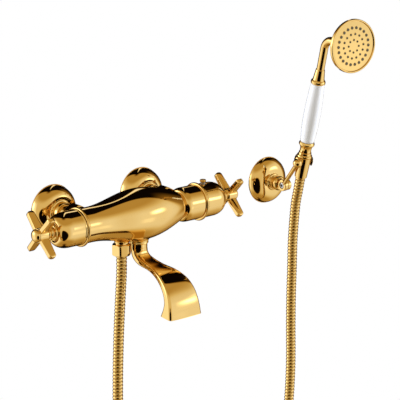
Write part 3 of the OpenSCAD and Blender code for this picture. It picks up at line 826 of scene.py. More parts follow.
class FAUCET_OT_supply(bpy.types.Operator):
    """Make the two supply cover plates and the unions' hexagonal nuts"""
    bl_idname = "faucet.supply"
    bl_label = "Supply fittings"

    def execute(self, context):
        for name, x in zip(("hot", "cold"), INLETS):
            place = out_of_wall(x, 0)
            gilded(name + "_cover", [cover_plate(x, 0, bore=12.8, depth=20, neck_out=31)],
                   "mixer", name + "_rosette")
            gilded(name + "_nut", [
                hexagon_shell(flats=33, low_end=46, high_end=63, place=place),
                turned([(0, 62), (14.6, 62), (14.6, 64.2, 0.6), (0, 64.2)], place)],
                "mixer", name + "_union_nut", sharp=25)
        return {"FINISHED"}


# --- handles ---

SLEEVE_LOW = BODY_END + 4.9
SLEEVE_DOME = 122.0
SLEEVE_HIGH = 140.0
CROSS_X = 159.0
HUB_R = 9.4
HUB_HIGH = 166.0


def sleeve_shell(side):
    radius = sizes().sleeve / MM
    dome_r = 13.5
    dome = [(dome_r + (radius - dome_r) * math.cos(a),
             SLEEVE_DOME + (SLEEVE_HIGH - SLEEVE_DOME) * math.sin(a), 0)
            for a in np.linspace(0, math.pi / 2, 20)]
    outline = ([(21.4, SLEEVE_LOW, 0.2), (radius + 0.7, SLEEVE_LOW, 0.3),
                (radius + 0.7, SLEEVE_LOW + 1.5, 0.3), (radius, SLEEVE_LOW + 2.0, 0.2)] + dome
               + [(11.6, SLEEVE_HIGH, 0.3), (11.4, SLEEVE_HIGH - 0.8, 0.3), (4.05, SLEEVE_HIGH - 0.8, 0),
                  (4.05, 122, 0), (21.4, 121, 0.5)])
    return turned(outline, rightwards(side), segments=120)


def spoke_shell(reach):
    """One spoke along x: a flattened bar that narrows to a rounded tip."""
    root, tip, thick = 6.7, 5.3, 3.5
    rings = []
    count = 32
    stations = list(np.linspace(5.5, reach - tip, 12))
    stations += [reach - tip + tip * math.sin(a) for a in np.linspace(0, math.pi / 2, 9)[1:-1]]
    stations.append(reach)
    for x in stations:
        u = min(1, (x - 5.5) / (reach - tip - 5.5))
        end = max(0.0, (x - (reach - tip)) / tip)
        shrink = max(0.03, 1 - end ** 2.6) ** (1 / 2.6)
        wide = (root + (tip - root) * u) * shrink
        high_half = thick * (0.55 + 0.45 * shrink) if end < 1 else thick * 0.4
        ring = []
        for k in range(count):
            a = 2 * math.pi * k / count
            c, s = math.cos(a), math.sin(a)
            z = math.copysign(abs(c) ** (2 / 8), c) * wide
            y = math.copysign(abs(s) ** (2 / 5), s) * high_half
            ring.append(Vector((x, y, z)))
        rings.append(ring)
    return lofted(rings)


def hub_shell(side):
    low_end = SLEEVE_HIGH - 0.5
    return turned([
        (0, low_end), (10.6, low_end, 0.3), (11.0, low_end + 1.2, 0.6), (10.6, low_end + 2.8, 0.8),
        (7.6, low_end + 4.0, 0.5), (7.4, low_end + 5.2, 0.3), (9.3, low_end + 5.8, 0.6),
        (9.8, low_end + 7.2, 0.8), (9.3, low_end + 8.6, 0.6), (7.3, low_end + 9.4, 0.5),
        (7.0, low_end + 10.6, 0.4), (8.2, low_end + 11.6, 0.6), (HUB_R, low_end + 13.5, 0.8),
        (HUB_R, HUB_HIGH, 0.4), (8.95, HUB_HIGH + 0.05, 0.1), (0, HUB_HIGH + 0.05)],
        rightwards(side), 80)


def cap_shell(side):
    dome = [(8.9 * math.cos(a), HUB_HIGH + 0.6 + 5.4 * math.sin(a), 0)
            for a in np.linspace(0.12, math.pi / 2 - 0.02, 12)]
    return turned([(0, HUB_HIGH - 1), (6, HUB_HIGH - 1, 0), (6, HUB_HIGH + 0.1, 0),
                   (8.9, HUB_HIGH + 0.1, 0.2)] + dome + [(0, HUB_HIGH + 6)], rightwards(side), 80)


def bead_shell(side, bore):
    wide = 4.2
    mid = BODY_END + 0.1 + wide / 2
    outer = [(24.5 + 2.1 * math.cos(a), mid + wide / 2 * math.sin(a), 0)
             for a in np.linspace(-math.pi / 2, math.pi / 2, 19)]
    return turned([(bore, mid - wide / 2, 0)] + outer + [(bore, mid + wide / 2, 0)],
                  rightwards(side), 120)


class FAUCET_OT_handles(bpy.types.Operator):
    """Make both turning handles: bead ring, domed sleeve, beaded hub, four spokes and cap"""
    bl_idname = "faucet.handles"
    bl_label = "Cross handles"

    def execute(self, context):
        gold = polished_gold()
        for name, side, bore in (("temperature", 1, 18.5), ("flow", -1, 16.0)):
            body = name + "_handle"
            gilded(name + "_bead", [bead_shell(side, bore)], "mixer", name + "_bead_ring")
            sleeve = piece_from(name + "_shroud", [sleeve_shell(side)], gold)
            if name == "temperature":
                self.drill(sleeve)
            settle(sleeve, body, name + "_sleeve")
            hub = piece_from(name + "_hub", [hub_shell(side)], gold)
            spokes = ring_of(name + "_spokes", [spoke_shell(sizes().spoke / MM)], sizes().spokes,
                             rightwards(side) @ Matrix.Translation((0, 0, CROSS_X)), gold,
                             math.radians(45))
            cross = joined(name + "_cross_piece", [hub, spokes])
            settle(cross, body, name + "_cross")
            gilded(name + "_nose", [cap_shell(side)], body, name + "_cap")
        self.button()
        self.spring()
        return {"FINISHED"}

    def drill(self, sleeve):
        """Cuts the round hole for the safety button through the top of the sleeve."""
        at = middle("safety_button")
        drill = piece_from("drill", [turned([(0, 15), (3.3, 15), (3.3, 22.3), (4.7, 22.3),
                                             (4.7, 30), (0, 30)],
                                            Matrix.Translation((at.x, at.y, 0)), segments=48, round_to=0)],
                           polished_gold())
        cut = sleeve.modifiers.new("hole", "BOOLEAN")
        cut.operation, cut.solver, cut.object = "DIFFERENCE", "EXACT", drill
        evaluated = sleeve.evaluated_get(bpy.context.evaluated_depsgraph_get())
        mesh = bpy.data.meshes.new_from_object(evaluated)
        sleeve.modifiers.clear()
        sleeve.data = mesh
        mesh.shade_smooth()
        mesh.set_sharp_from_angle(angle=math.radians(30))
        bpy.data.objects.remove(drill)

    def button(self):
        at = middle("safety_button")
        grooves = []
        for i in range(4):
            z = 26.6 + 0.5 * i
            grooves += [(4.3, z, 0), (4.1, z + 0.25, 0)]
        gilded("safety_stud", [turned(
            [(0, 18.9), (4.2, 18.9, 0.2), (4.2, 20.8, 0.2), (2.9, 20.9, 0.1), (2.9, 26, 0.1),
             (3.9, 26.1, 0.2)] + grooves + [(4.3, 28.6, 0.2), (3.6, 29.3, 0.3), (0, 29.4)],
            Matrix.Translation((at.x, at.y, 0)), segments=48)], "safety_button", "safety_button")

    def spring(self):
        """The button's return spring, built at rest; the real one flattens towards its seat when the button is
        pressed.
        """
        at, seat, top = (place("button_spring") for place in (middle, low, high))
        turns, steps, wire, coil_r = 4, 24, 0.3, 3.47
        rings = []
        for k in range(turns * steps + 1):
            a = 2 * math.pi * k / steps
            out = Vector((math.cos(a), math.sin(a), 0))
            climb = seat.z + wire + (top.z - seat.z - 2 * wire) * k / (turns * steps)
            centre = Vector((at.x, at.y, climb)) + out * coil_r
            rings.append([centre + out * (wire * math.cos(t)) + Vector((0, 0, wire * math.sin(t)))
                          for t in np.linspace(0, 2 * math.pi, 8, endpoint=False)])
        piece = piece_from("button_coil", [lofted(rings)], plain_steel(), 60)
        settle(piece, "temperature_handle", "button_spring")
        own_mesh(piece)


# --- spout ---

# Distance in front of the mixer's axis, height, thickness, half width and corner radius
SPOUT_STATIONS = [
    (0, -40, 22.6, 11.3, 11.3), (0, -47, 22.6, 11.3, 11.3), (3, -56, 18.0, 11.3, 8.2),
    (13, -62, 12.0, 11.5, 4.6), (36, -66, 8.6, 12.2, 2.9), (58, -70.5, 9.0, 17.2, 2.6),
    (74, -78, 10.5, 21.2, 3.0), (84, -88, 11.5, 23.6, 3.4), (88.8, -99, 12.9, 25.2, 3.7),
    (89.8, -109, 16.4, 26.5, 3.9), (88.9, -119, 21.5, 27.4, 4.0)]


def rounded_section(half_w, half_h, corner, crown=0.0, arc=7, side=6):
    """Points around a rounded rectangle with slightly crowned long faces."""
    corner = min(corner, half_w, half_h)
    out = []
    centres = [(half_w - corner, half_h - corner, 0), (corner - half_w, half_h - corner, 90),
               (corner - half_w, corner - half_h, 180), (half_w - corner, corner - half_h, 270)]
    for i, (cx, cy, turn) in enumerate(centres):
        arc_points = []
        for k in range(arc + 1):
            a = math.radians(turn + 90 * k / arc)
            arc_points.append(Vector((cx + corner * math.cos(a), cy + corner * math.sin(a))))
        nx, ny, nturn = centres[(i + 1) % 4]
        a = math.radians(nturn)
        following = Vector((nx + corner * math.cos(a), ny + corner * math.sin(a)))
        out += arc_points
        for k in range(1, side):
            out.append(arc_points[-1].lerp(following, k / side))
    for p in out:
        p.y += math.copysign(crown, p.y) * max(0, 1 - (p.x / half_w) ** 2) if abs(p.y) > 1e-6 else 0
    return out


def spout_rings(shrink, first, last, count):
    """Rings of the spout's surface, thinner by shrink all round, between two stations."""
    rings = []
    columns = [list(enumerate(column)) for column in zip(*SPOUT_STATIONS)]
    for t in np.linspace(first, last, count):
        out, z, thick, half_w, corner = (blend_value(c, t) for c in columns)
        ahead, behind = min(t + 0.02, len(SPOUT_STATIONS) - 1), max(t - 0.02, 0)
        way = Vector((0, -(blend_value(columns[0], ahead) - blend_value(columns[0], behind)),
                      blend_value(columns[1], ahead) - blend_value(columns[1], behind))).normalized()
        normal = Vector((0, way.z, -way.y))
        crown = 1.5 * min(1, max(0, (t - 4) / 4))
        section = rounded_section(half_w - shrink, thick / 2 - shrink, max(0.4, corner - shrink),
                                  crown)
        centre = Vector((0, AXIS.y - out, z))
        rings.append([centre + Vector((p.x, 0, 0)) + normal * p.y for p in section])
    return rings


class FAUCET_OT_spout(bpy.types.Operator):
    """Loft the curved spout from its round neck to its wide slotted mouth, and its collar"""
    bl_idname = "faucet.spout"
    bl_label = "Spout"

    def execute(self, context):
        last = len(SPOUT_STATIONS) - 1
        wall = 2.0
        outer = spout_rings(0, 0, last, count=90)
        lip = spout_rings(0.5, last, last, count=1)
        inner = spout_rings(wall, last, last - 1.1, count=10)
        mouth = spout_rings(wall - 0.4, last, last, count=1)
        for p in lip[0] + mouth[0]:
            p.z -= 0.25
        gilded("spout_casting", [lofted(outer + lip + mouth + inner)], "mixer", "spout", sharp=32)
        neck = sizes().neck / MM
        gilded("spout_ring", [turned(
            [(8.6, 0.02, 0), (neck + 0.4, 0.02, 0.2), (neck + 1.3, 0.5, 0.5), (neck + 1.6, 1.5, 0.6),
             (neck + 1.3, 2.5, 0.5), (neck + 0.9, 2.95, 0.1), (8.6, 2.95, 0)],
            Matrix.Translation((0, AXIS.y, SPOUT_TOP)))], "mixer", "spout_collar")
        return {"FINISHED"}


# --- shower outlet ---


class FAUCET_OT_outlet(bpy.types.Operator):
    """Make the shower outlet's collar and the hexagonal nut of the hose"""
    bl_idname = "faucet.outlet"
    bl_label = "Shower outlet"

    def execute(self, context):
        place = Matrix.Translation((OUTLET.x, OUTLET.y, 0))
        nut_low, nut_high = low("hose_nut").z, high("hose_nut").z
        gilded("hose_hexagon", [
            hexagon_shell(23.4, low_end=nut_low + 0.6, high_end=nut_high,
                          place=place @ Matrix.Rotation(math.radians(11), 4, "Z")),
            turned([(7.4, nut_low + 0.02, 0.2), (9.6, nut_low + 0.02, 0.5), (10.2, nut_low + 1.5, 0.3),
                    (7.4, nut_low + 1.5)], place)], "mixer", "hose_nut", sharp=25)
        gilded("outlet_nipple", [turned(
            [(0, nut_low + 4), (8.3, nut_low + 4), (8.3, -34.1, 0.3), (7, -34.1), (7, -30), (0, -30)],
            place)], "mixer", "shower_outlet")
        return {"FINISHED"}


# --- wall holder ---

RING_LOW, RING_HIGH = 20.0, 32.0
SLOT_FROM, SLOT_TO = 212.0, 314.0     # the ring's slot for the hose, in degrees
BALL_TURN, BALL_OFF, BALL_R = 195.0, 16.2, 6.8


def ball_place():
    a = math.radians(BALL_TURN)
    return at_handset() @ Vector((BALL_OFF * math.cos(a), BALL_OFF * math.sin(a),
                                  (RING_LOW + RING_HIGH) / 2))


class FAUCET_OT_holder(bpy.types.Operator):
    """Make the wall holder: cover plate, post with its ear, screw, tilting arm and slotted ring"""
    bl_idname = "faucet.holder"
    bl_label = "Wall holder"

    def execute(self, context):
        gilded("holder_cover", [cover_plate(HOLDER.x, HOLDER.z, bore=8.05, depth=16, neck_out=18.8)],
               "mixer", "holder_rosette")
        ear = frame_at((HOLDER.x, KNUCKLE.y, HOLDER.z), (1, 0, 0), (0, -1, 0))
        gilded("holder_stem", [
            turned([(0, 14.5), (7.9, 14.5), (7.9, 18.3, 0.3), (9.6, 18.7, 0.5), (9.6, 20.4, 0.5),
                    (8.2, 21.0, 0.4), (8.2, 22.0, 0.4), (9.7, 22.6, 0.6), (10.7, 25, 1.2),
                    (10.7, 29, 1.2), (9.9, 31.4, 1.0), (8.5, 32.4, 0.5), (0, 32.4)],
                   out_of_wall(HOLDER.x, HOLDER.z)),
            turned([(0, 0.3), (8.0, 0.3, 1.1), (8.0, 6.3, 1.1), (0, 6.3)], ear, segments=72),
            self.bridge(ear)], "mixer", "holder_post", sharp=30)
        self.arm(ear)
        settle(self.socket_screw(ear @ Matrix.Translation((0, 0, -6.4))),
               "mixer", "knuckle_screw")
        self.clip()
        return {"FINISHED"}

    def bridge(self, ear):
        """Rounded block that joins the post to its ear."""
        rings = []
        for out in np.linspace(-12.6, 0, 8):
            half = 5.4 + 0.3 * math.cos(math.pi * (out + 12.6) / 12.6)
            section = rounded_section(2.9, half, 1.6)
            rings.append([ear @ Vector((out, p.y, 3.4 + p.x)) for p in section])
        return lofted(rings)

    def arm(self, ear):
        """Lug on the knuckle and the rod from it to the ring's ball."""
        clear = 5.5
        ball = ball_place()
        root = Vector((HOLDER.x - 3.4, KNUCKLE.y, HOLDER.z))
        way = (ball - root).normalized()
        reach = (ball - root).length - clear - BALL_R + 1.5
        gilded("tilting_arm", [
            turned([(4.8, 0, 0.3), (8.4, 0, 1.0), (8.4, 6.8, 0.8), (2.6, 6.8, 0), (2.6, 3.4, 0),
                    (4.8, 3.4, 0)], ear @ Matrix.Translation((0, 0, -6.8)), segments=72),
            turned([(0, 0), (3.5, 0, 0), (3.3, 4, 0), (3.1, reach * 0.5, 0), (3.2, reach, 0),
                    (0, reach)], frame_at(root + way * clear, way), segments=48, round_to=0)],
            "holder_arm", "holder_arm", sharp=30)

    def socket_screw(self, place):
        """Screw with a domed head and a hexagon socket."""
        count = 48
        round_levels = [(2.45, 11.0), (2.45, 2.7), (4.4, 2.6), (4.5, 1.2), (4.2, 0.4), (3.6, 0.05)]
        socket = 2.3 * math.cos(math.pi / 6)
        socket_levels = [(1.03, 0.0), (1.0, 0.25), (1.0, 2.0)]
        angles = [2 * math.pi * s / count for s in range(count)]
        levels = [([radius] * count, z) for radius, z in round_levels]
        levels += [([hexagon_radius(socket, a) * share for a in angles], z)
                   for share, z in socket_levels]
        rings = [[place @ Vector((r * math.cos(a), r * math.sin(a), z)) for r, a in zip(radii, angles)]
                 for radii, z in levels]
        return piece_from("socket_screw", [lofted(rings)], plain_steel(), 30)

    def clip(self):
        """Slotted ring that holds the cone nut, and the ball that joins it to the arm."""
        half = (RING_LOW + RING_HIGH) / 2
        outline = rounded([(10.55, RING_LOW, 0.5), (12.7, RING_LOW, 0.8), (13.4, RING_LOW + 2.4, 1.0),
                           (13.85, half, 2.0), (13.4, RING_HIGH - 2.4, 1.0),
                           (12.7, RING_HIGH, 0.8), (10.55, RING_HIGH, 0.5)])
        mid = Vector((12.2, half))
        rings = []
        start, stop = SLOT_TO, SLOT_FROM + 360
        for a in np.concatenate([[start], np.linspace(start + 1.2, stop - 1.2, 60), [stop]]):
            section = [mid + (p - mid) * 0.8 for p in outline] if a in (start, stop) else outline
            t = math.radians(a)
            rings.append([at_handset() @ Vector((q.x * math.cos(t), q.x * math.sin(t), q.y))
                          for q in section])
        globe = [(BALL_R * math.sin(t), -BALL_R * math.cos(t)) for t in np.linspace(0, math.pi, 33)]
        globe[0], globe[-1] = (0, -BALL_R), (0, BALL_R)
        axis = at_handset().to_3x3() @ Vector((0, 0, 1))
        ball = turned(globe, frame_at(ball_place(), axis), segments=48, round_to=0)
        gilded("slotted_ring", [lofted(rings), ball], "holder_arm", "holder_ring", sharp=32)


# --- hand shower ---

GRIP_LOW, GRIP_HIGH = 56.5, 146.0
NECK_LOW = 168.0
BEND_R = 16.0
TUBE_R = 5.7
HEAD_REACH = 64.0
NOZZLE_ROWS = ((22, 25.7, 2.25, 0.0), (14, 16.9, 1.75, 6.0), (8, 8.7, 1.6, 0.0))


class FAUCET_OT_cone(bpy.types.Operator):
    """Turn the hose's cone nut that hangs in the holder"""
    bl_idname = "faucet.cone"
    bl_label = "Cone nut"

    def execute(self, context):
        gilded("cone_fitting", [turned(
            [(6.2, 0.02, 0.2), (8.4, 0.02, 0.5), (8.9, 0.8, 0.6), (9.4, 12, 0), (10.0, 26, 0),
             (10.1, 31.6, 0.2), (10.9, 32.4, 0.4), (11.15, 33.6, 0.7), (10.7, 35.4, 0.6),
             (9.5, 36.4, 0.4), (9.2, 39.7, 0.3), (8.05, 39.7, 0), (8.05, 27, 0), (6.2, 27, 0)],
            at_handset())], "hose_end", "cone_nut")
        return {"FINISHED"}


class FAUCET_OT_grip(bpy.types.Operator):
    """Turn the porcelain grip and the two gold ferrules at its ends"""
    bl_idname = "faucet.grip"
    bl_label = "Grip"

    def execute(self, context):
        place = at_handset()
        gilded("foot_ferrule", [turned(
            [(5.1, 29.1, 0), (8.0, 29.1, 0), (8.0, 40.0, 0.1), (8.5, 40.6, 0.2), (8.35, 41.6, 0.3),
             (8.1, 44, 1.5), (8.5, 47.2, 1.5), (9.8, 50.2, 1.0), (10.9, 51.2, 0.4), (11.4, 52.4, 0.6),
             (11.4, 53.8, 0.6), (10.9, 54.9, 0.4), (10.3, 56.2, 0.3), (5.1, 56.2, 0)], place)],
            "handset", "lower_ferrule")
        span = GRIP_HIGH - GRIP_LOW
        bulge = [(9.9 + 2.4 * math.sin(math.pi * u ** 0.85), GRIP_LOW + span * u, 0)
                 for u in np.linspace(0.008, 0.992, 40)]
        grip = piece_from("porcelain_handle", [turned(
            [(6.2, GRIP_LOW, 0), (9.4, GRIP_LOW, 0.3)] + bulge
            + [(9.3, GRIP_HIGH, 0.3), (6.2, GRIP_HIGH, 0)], place)], glazed_porcelain())
        settle(grip, "handset", "porcelain_grip")
        gilded("neck_ferrule", [turned(
            [(5.1, 146.3, 0), (9.6, 146.3, 0.2), (10.3, 147.0, 0.4), (10.6, 148.3, 0.6),
             (10.5, 150.2, 0.7), (9.7, 151.6, 0.4), (8.6, 152.4, 0.4), (8.1, 155, 0.6),
             (6.7, 166.6, 0.4), (6.5, 168, 0.3), (5.75, 168, 0), (5.75, 160, 0), (5.1, 160, 0)],
            place)], "handset", "upper_ferrule")
        return {"FINISHED"}


class FAUCET_OT_head(bpy.types.Operator):
    """Bend the neck, turn the shower head and set its spray plate with rows of nozzles"""
    bl_idname = "faucet.head"
    bl_label = "Shower head"

    def execute(self, context):
        gold = polished_gold()
        gilded("bent_neck", [self.neck()], "handset", "head_neck")
        rim = sizes().head / MM
        top = HEAD_REACH
        gilded("head_bell", [turned(
            [(5.75, top - 26, 0), (7.9, top - 26, 0.3), (8.5, top - 23.5, 0.8), (10.6, top - 20, 1.5),
             (17, top - 16, 3), (25, top - 12.6, 3), (32, top - 9.2, 2), (36, top - 6.4, 1.2),
             (36.6, top - 5.4, 0.4), (37.3, top - 5.0, 0.4), (rim, top - 4.2, 0.4),
             (rim, top - 0.9, 0.5), (rim - 0.7, top, 0.4), (rim - 2.0, top, 0.4),
             (rim - 2.5, top - 0.6, 0.2), (rim - 2.5, top - 3.4, 0), (31, top - 7.2, 0),
             (16.5, top - 14, 0), (10, top - 17.6, 0), (5.75, top - 18.4, 0)], at_head(), segments=144)],
            "handset", "head_shell")
        plate = piece_from("spray_face", [turned(
            [(0, top - 3.2), (rim - 2.6, top - 3.2, 0.2), (rim - 2.6, top - 1.5, 0.3)]
            + [(u * (rim - 3.2), top - 0.4 - u * u, 0) for u in np.linspace(1, 0, 20)],
            at_head(), segments=144)], gold)
        plate = joined("spray_face", [plate] + self.rows("collars", self.collar, gold))
        settle(plate, "handset", "spray_plate")
        nozzles = joined("nozzle_rows", self.rows("nozzles", self.nozzle, black_rubber()))
        settle(nozzles, "handset", "spray_nozzles")
        return {"FINISHED"}

    def rows(self, name, shape, material):
        """One ring of the shape for each row of nozzles."""
        return [ring_of(f"{name}_{i}", [shape(radius, hole)], count, at_head(), material,
                        math.radians(start))
                for i, (count, radius, hole, start) in enumerate(NOZZLE_ROWS)]

    def face_height(self, radius):
        """Height of the slightly domed spray face at a distance from its middle."""
        return HEAD_REACH - 0.4 - (radius / (sizes().head / MM - 3.2)) ** 2

    def collar(self, radius, hole):
        z = self.face_height(radius) - 0.1
        return turned([(hole - 0.2, z, 0), (hole + 0.45, z, 0), (hole + 0.3, z + 0.3, 0.1),
                       (hole - 0.2, z + 0.3, 0.1)], Matrix.Translation((radius, 0, 0)), segments=20)

    def nozzle(self, radius, hole):
        z = self.face_height(radius) - 0.2
        r = hole - 0.15
        return turned([(0, z), (r, z, 0), (r, z + 0.7, 0.3), (r - 0.4, z + 1.0, 0.2),
                       (0.5, z + 1.0, 0.1), (0.4, z + 0.3, 0), (0, z + 0.3)],
                      Matrix.Translation((radius, 0, 0)), segments=20)

    def neck(self):
        """Round tube: straight up the grip's axis, round the bend and into the head."""
        bend = math.radians(90) - LEAN
        tangent = BEND_R * math.tan(bend / 2)
        base = at_handset() @ Matrix.Rotation(sizes().head_turn, 4, "Z")
        stations = [(0, z, 0) for z in np.linspace(NECK_LOW - 6, HEAD_JOINT - tangent, 6)[:-1]]
        for k in range(25):
            a = bend * k / 24
            stations.append((-BEND_R * (1 - math.cos(a)), HEAD_JOINT - tangent + BEND_R * math.sin(a), a))
        end = stations[-1]
        for k in range(1, 5):
            d = (HEAD_REACH - 22 - tangent) * k / 4
            stations.append((end[0] - math.sin(bend) * d, end[1] + math.cos(bend) * d, bend))
        count = 48
        circle = [Vector((TUBE_R * math.cos(2 * math.pi * k / count),
                          TUBE_R * math.sin(2 * math.pi * k / count), 0)) for k in range(count)]
        rings = []
        for y, z, a in stations:
            place = base @ Matrix.Translation((0, y, z)) @ Matrix.Rotation(a, 4, "X")
            rings.append([place @ p for p in circle])
        return lofted(rings)


# --- hidden and carried-over parts ---


class FAUCET_OT_inner_parts(bpy.types.Operator):
    """Give every CAD part that stays its own finish"""
    bl_idname = "faucet.inner_parts"
    bl_label = "Inner parts"

    def execute(self, context):
        makers = {"polished_gold": polished_gold, "gold_hose": hose_gold, "raw_brass": raw_brass,
                  "white_porcelain": glazed_porcelain, "black_rubber": black_rubber,
                  "grey_plastic": grey_plastic, "plain_steel": plain_steel}
        slots = {part["node"]: part["material_slot"] for part in frame["record"]["subparts"]}
        for name, part in frame["nodes"].items():
            material = makers[slots[name]]()
            part.data.materials.clear()
            part.data.materials.append(material)
        return {"FINISHED"}


# --- stage ---

# Lit panels of the studio as polished metal sees them, in degrees: from and to around the
# camera's side (0 is the camera, positive to its right), bottom and top climb, softness
# around and upright, and level
PANELS = (
    (-118, 117, -20, 84, 9, 20, 0.48),
    (-150, 162, -84, -20, 30, 20, 0.45),
    (-128, 138, -50, 38, 34, 26, 0.30),
    (50, 114, -42, 24, 24, 28, 0.26),
    (75, 93, 5, 13, 15, 12, 2.8),
    (61, 77, -22, -8, 9, 9, 0.22),
    (-122, -66, -36, 22, 16, 20, 0.5),
    (-110, -84, -2, 18, 12, 12, 2.4),
    (177.5, 182, 20, 72, 2, 10, 1.2),
    (-182, -177.5, 20, 72, 2, 10, 1.2),
)
# Dark opening around the camera: centre around and upright, half width and half height
OPENING = (-2, -24, 38, 34)
# Colour of the light by level
TONES = ((0.25, (0.26, 0.14, 0.028)), (0.5, (0.57, 0.40, 0.15)), (0.75, (0.82, 0.71, 0.47)))


class FAUCET_OT_stage(bpy.types.Operator):
    """Lay the pale floor, light the studio and stand the camera at its place"""
    bl_idname = "faucet.stage"
    bl_label = "Studio"

    def execute(self, context):
        studio = context.scene.faucet_studio
        self.camera(studio)
        self.floor()
        self.world(studio)
        self.lights(studio)
        context.scene.view_settings.view_transform = "Standard"
        return {"FINISHED"}

    def camera(self, studio):
        a, e = studio.azimuth, studio.height
        back = Vector((-math.sin(a) * math.cos(e), -math.cos(a) * math.cos(e), math.sin(e)))
        right = Vector((math.cos(a), -math.sin(a), 0))
        data = bpy.data.cameras.new("camera")
        data.sensor_width = 36
        data.lens = studio.lens
        camera = bpy.data.objects.new("camera", data)
        camera.location = back * studio.distance + right * studio.aim_right
        camera.rotation_euler = back.to_track_quat("Z", "Y").to_euler()
        bpy.context.scene.collection.objects.link(camera)
        bpy.context.scene.camera = camera

    def floor(self):
        """Seamless pale floor under the hose's loop; mirrors and matt parts see the studio."""
        below = CAD_BOX[0].z - 0.02
        reach = 14
        mesh = bpy.data.meshes.new("floor")
        corners = [(-reach, -reach, below), (reach, -reach, below), (reach, reach, below),
                   (-reach, reach, below)]
        mesh.from_pydata(corners, [], [(0, 1, 2, 3)])
        floor = bpy.data.objects.new("floor", mesh)
        bpy.context.scene.collection.objects.link(floor)
        material = bpy.data.materials.new("pale_floor")
        material.use_nodes = True
        tree = material.node_tree
        tree.nodes.remove(tree.nodes["Principled BSDF"])
        pale = node_with(tree, "ShaderNodeEmission", {"Color": (1.0, 1.0, 1.0, 1)})
        feed(tree, tree.nodes["Material Output"], {"Surface": pale.outputs["Emission"]})
        mesh.materials.append(material)
        floor.visible_glossy = floor.visible_diffuse = floor.visible_shadow = False

    def world(self, studio):
        """White backdrop to the camera; everything else sees the studio's panels and gaps."""
        world = bpy.data.worlds.new("studio")
        bpy.context.scene.world = world
        world.use_nodes = True
        tree = world.node_tree
        direction = tree.nodes.new("ShaderNodeTexCoord").outputs["Generated"]
        x, y, z = node_with(tree, "ShaderNodeSeparateXYZ", {0: direction}).outputs
        a = studio.azimuth
        forward = math_node(tree, "ADD", math_node(tree, "MULTIPLY", x, -math.sin(a)),
                            math_node(tree, "MULTIPLY", y, -math.cos(a)))
        right = math_node(tree, "ADD", math_node(tree, "MULTIPLY", x, math.cos(a)),
                          math_node(tree, "MULTIPLY", y, -math.sin(a)))
        around = math_node(tree, "DEGREES", math_node(tree, "ARCTAN2", right, forward))
        climb = math_node(tree, "DEGREES", math_node(tree, "ARCSINE", z))
        panels = []
        for left, to, bottom, top, soft_across, soft_upright, level in PANELS:
            across = self.band(tree, around, left, to, soft_across)
            upright = self.band(tree, climb, bottom, top, soft_upright)
            panels.append(math_node(tree, "MULTIPLY", math_node(tree, "MULTIPLY", across, upright),
                                    level))
        light = functools.reduce(lambda a, b: math_node(tree, "ADD", a, b), panels)
        light = math_node(tree, "MULTIPLY", light, self.opening(tree, around, climb))
        tone = node_with(tree, "ShaderNodeValToRGB", {"Fac": light})
        stops = tone.color_ramp.elements
        stops[0].position, stops[0].color = 0.0, (0.004, 0.002, 0.0005, 1)
        stops[1].position, stops[1].color = 1.0, (1.0, 1.0, 1.0, 1)
        for at, colour in TONES:
            stops.new(at).color = (*colour, 1)
        seen = tree.nodes.new("ShaderNodeLightPath").outputs["Is Camera Ray"]
        choose = node_with(tree, "ShaderNodeMix", {
            "Factor": seen, "A": tone.outputs["Color"], "B": (1, 1, 1, 1)}, data_type="RGBA")
        over = math_node(tree, "SUBTRACT", math_node(tree, "MAXIMUM", light, 1.0), 1.0)
        extra = math_node(tree, "MULTIPLY", over, math_node(tree, "SUBTRACT", 1.0, seen))
        feed(tree, tree.nodes["Background"], {
            "Color": choose.outputs["Result"], "Strength": math_node(tree, "ADD", extra, 1.0)})

    def opening(self, tree, around, climb):
        """0 inside the dark oval opening that the camera looks through, 1 outside it."""
        centre, height, half_wide, half_high = OPENING
        parts = []
        for value, middle_at, half in ((around, centre, half_wide), (climb, height, half_high)):
            off = math_node(tree, "DIVIDE", math_node(tree, "SUBTRACT", value, middle_at), half)
            parts.append(math_node(tree, "MULTIPLY", off, off))
        reach = math_node(tree, "ADD", *parts)
        edge = node_with(tree, "ShaderNodeMapRange", {
            "Value": reach, "From Min": 0.82, "From Max": 1.12}, interpolation_type="SMOOTHSTEP")
        return edge.outputs["Result"]

    def band(self, tree, value, low_end, high_end, soft):
        """1 between two angles, falling smoothly to 0 over the soft width outside them."""
        sides = []
        for edge, before, after in ((low_end, 0, 1), (high_end, 1, 0)):
            ramp = node_with(tree, "ShaderNodeMapRange", {
                "Value": value, "From Min": edge - soft / 2, "From Max": edge + soft / 2,
                "To Min": before, "To Max": after}, interpolation_type="SMOOTHSTEP")
            sides.append(ramp.outputs["Result"])
        return math_node(tree, "MULTIPLY", *sides)

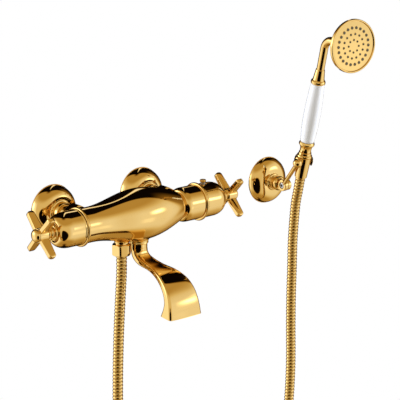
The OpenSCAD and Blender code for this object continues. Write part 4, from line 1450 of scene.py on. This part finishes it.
    def lights(self, studio):
        """Two soft boxes beside the camera that light the porcelain and other matt parts."""
        target = Vector((0.15, AXIS.y * MM, 0.05))
        reach, power = 2.2, 50
        for name, turn, climb in (("right_box", 84, 14), ("left_box", -84, 20)):
            data = bpy.data.lights.new(name, "AREA")
            data.shape = "RECTANGLE"
            data.size, data.size_y = 0.8, 1.2
            data.energy = power * studio.key
            light = bpy.data.objects.new(name, data)
            way = math.radians(turn) - studio.azimuth
            up = math.radians(climb)
            direction = Vector((math.sin(way) * math.cos(up), -math.cos(way) * math.cos(up),
                                math.sin(up)))
            light.location = target + direction * reach
            light.rotation_euler = direction.to_track_quat("Z", "Y").to_euler()
            light.visible_glossy = False
            bpy.context.scene.collection.objects.link(light)


# --- panel and registration ---

OPERATORS = (
    FAUCET_OT_stage, FAUCET_OT_hose, FAUCET_OT_inner_parts, FAUCET_OT_mixer_body,
    FAUCET_OT_supply, FAUCET_OT_handles, FAUCET_OT_spout, FAUCET_OT_outlet,
    FAUCET_OT_holder, FAUCET_OT_cone, FAUCET_OT_grip, FAUCET_OT_head)


class FAUCET_PT_panel(bpy.types.Panel):
    """Lists the faucet's sizes, finishes and pieces"""
    bl_idname = "FAUCET_PT_panel"
    bl_label = "Bath Faucet"
    bl_space_type = "VIEW_3D"
    bl_region_type = "UI"
    bl_category = "Faucet"

    def draw(self, context):
        for group in (sizes(), finishes(), context.scene.faucet_studio):
            for key in group.__annotations__:
                self.layout.prop(group, key)
        for operator in OPERATORS:
            self.layout.operator(operator.bl_idname)


GROUPS = {"faucet_sizes": FaucetSizes, "faucet_finishes": FaucetFinishes,
          "faucet_studio": FaucetStudio}


def register():
    for kind in (*GROUPS.values(), *OPERATORS, FAUCET_PT_panel):
        bpy.utils.register_class(kind)
    for name, kind in GROUPS.items():
        setattr(bpy.types.Scene, name, bpy.props.PointerProperty(type=kind))


def unregister():
    for name in GROUPS:
        delattr(bpy.types.Scene, name)
    for kind in reversed((*GROUPS.values(), *OPERATORS, FAUCET_PT_panel)):
        bpy.utils.unregister_class(kind)


def main():
    register()
    for operator in OPERATORS:
        getattr(bpy.ops.faucet, operator.bl_idname.split(".")[1])()


if __name__ == "__main__":
    main()
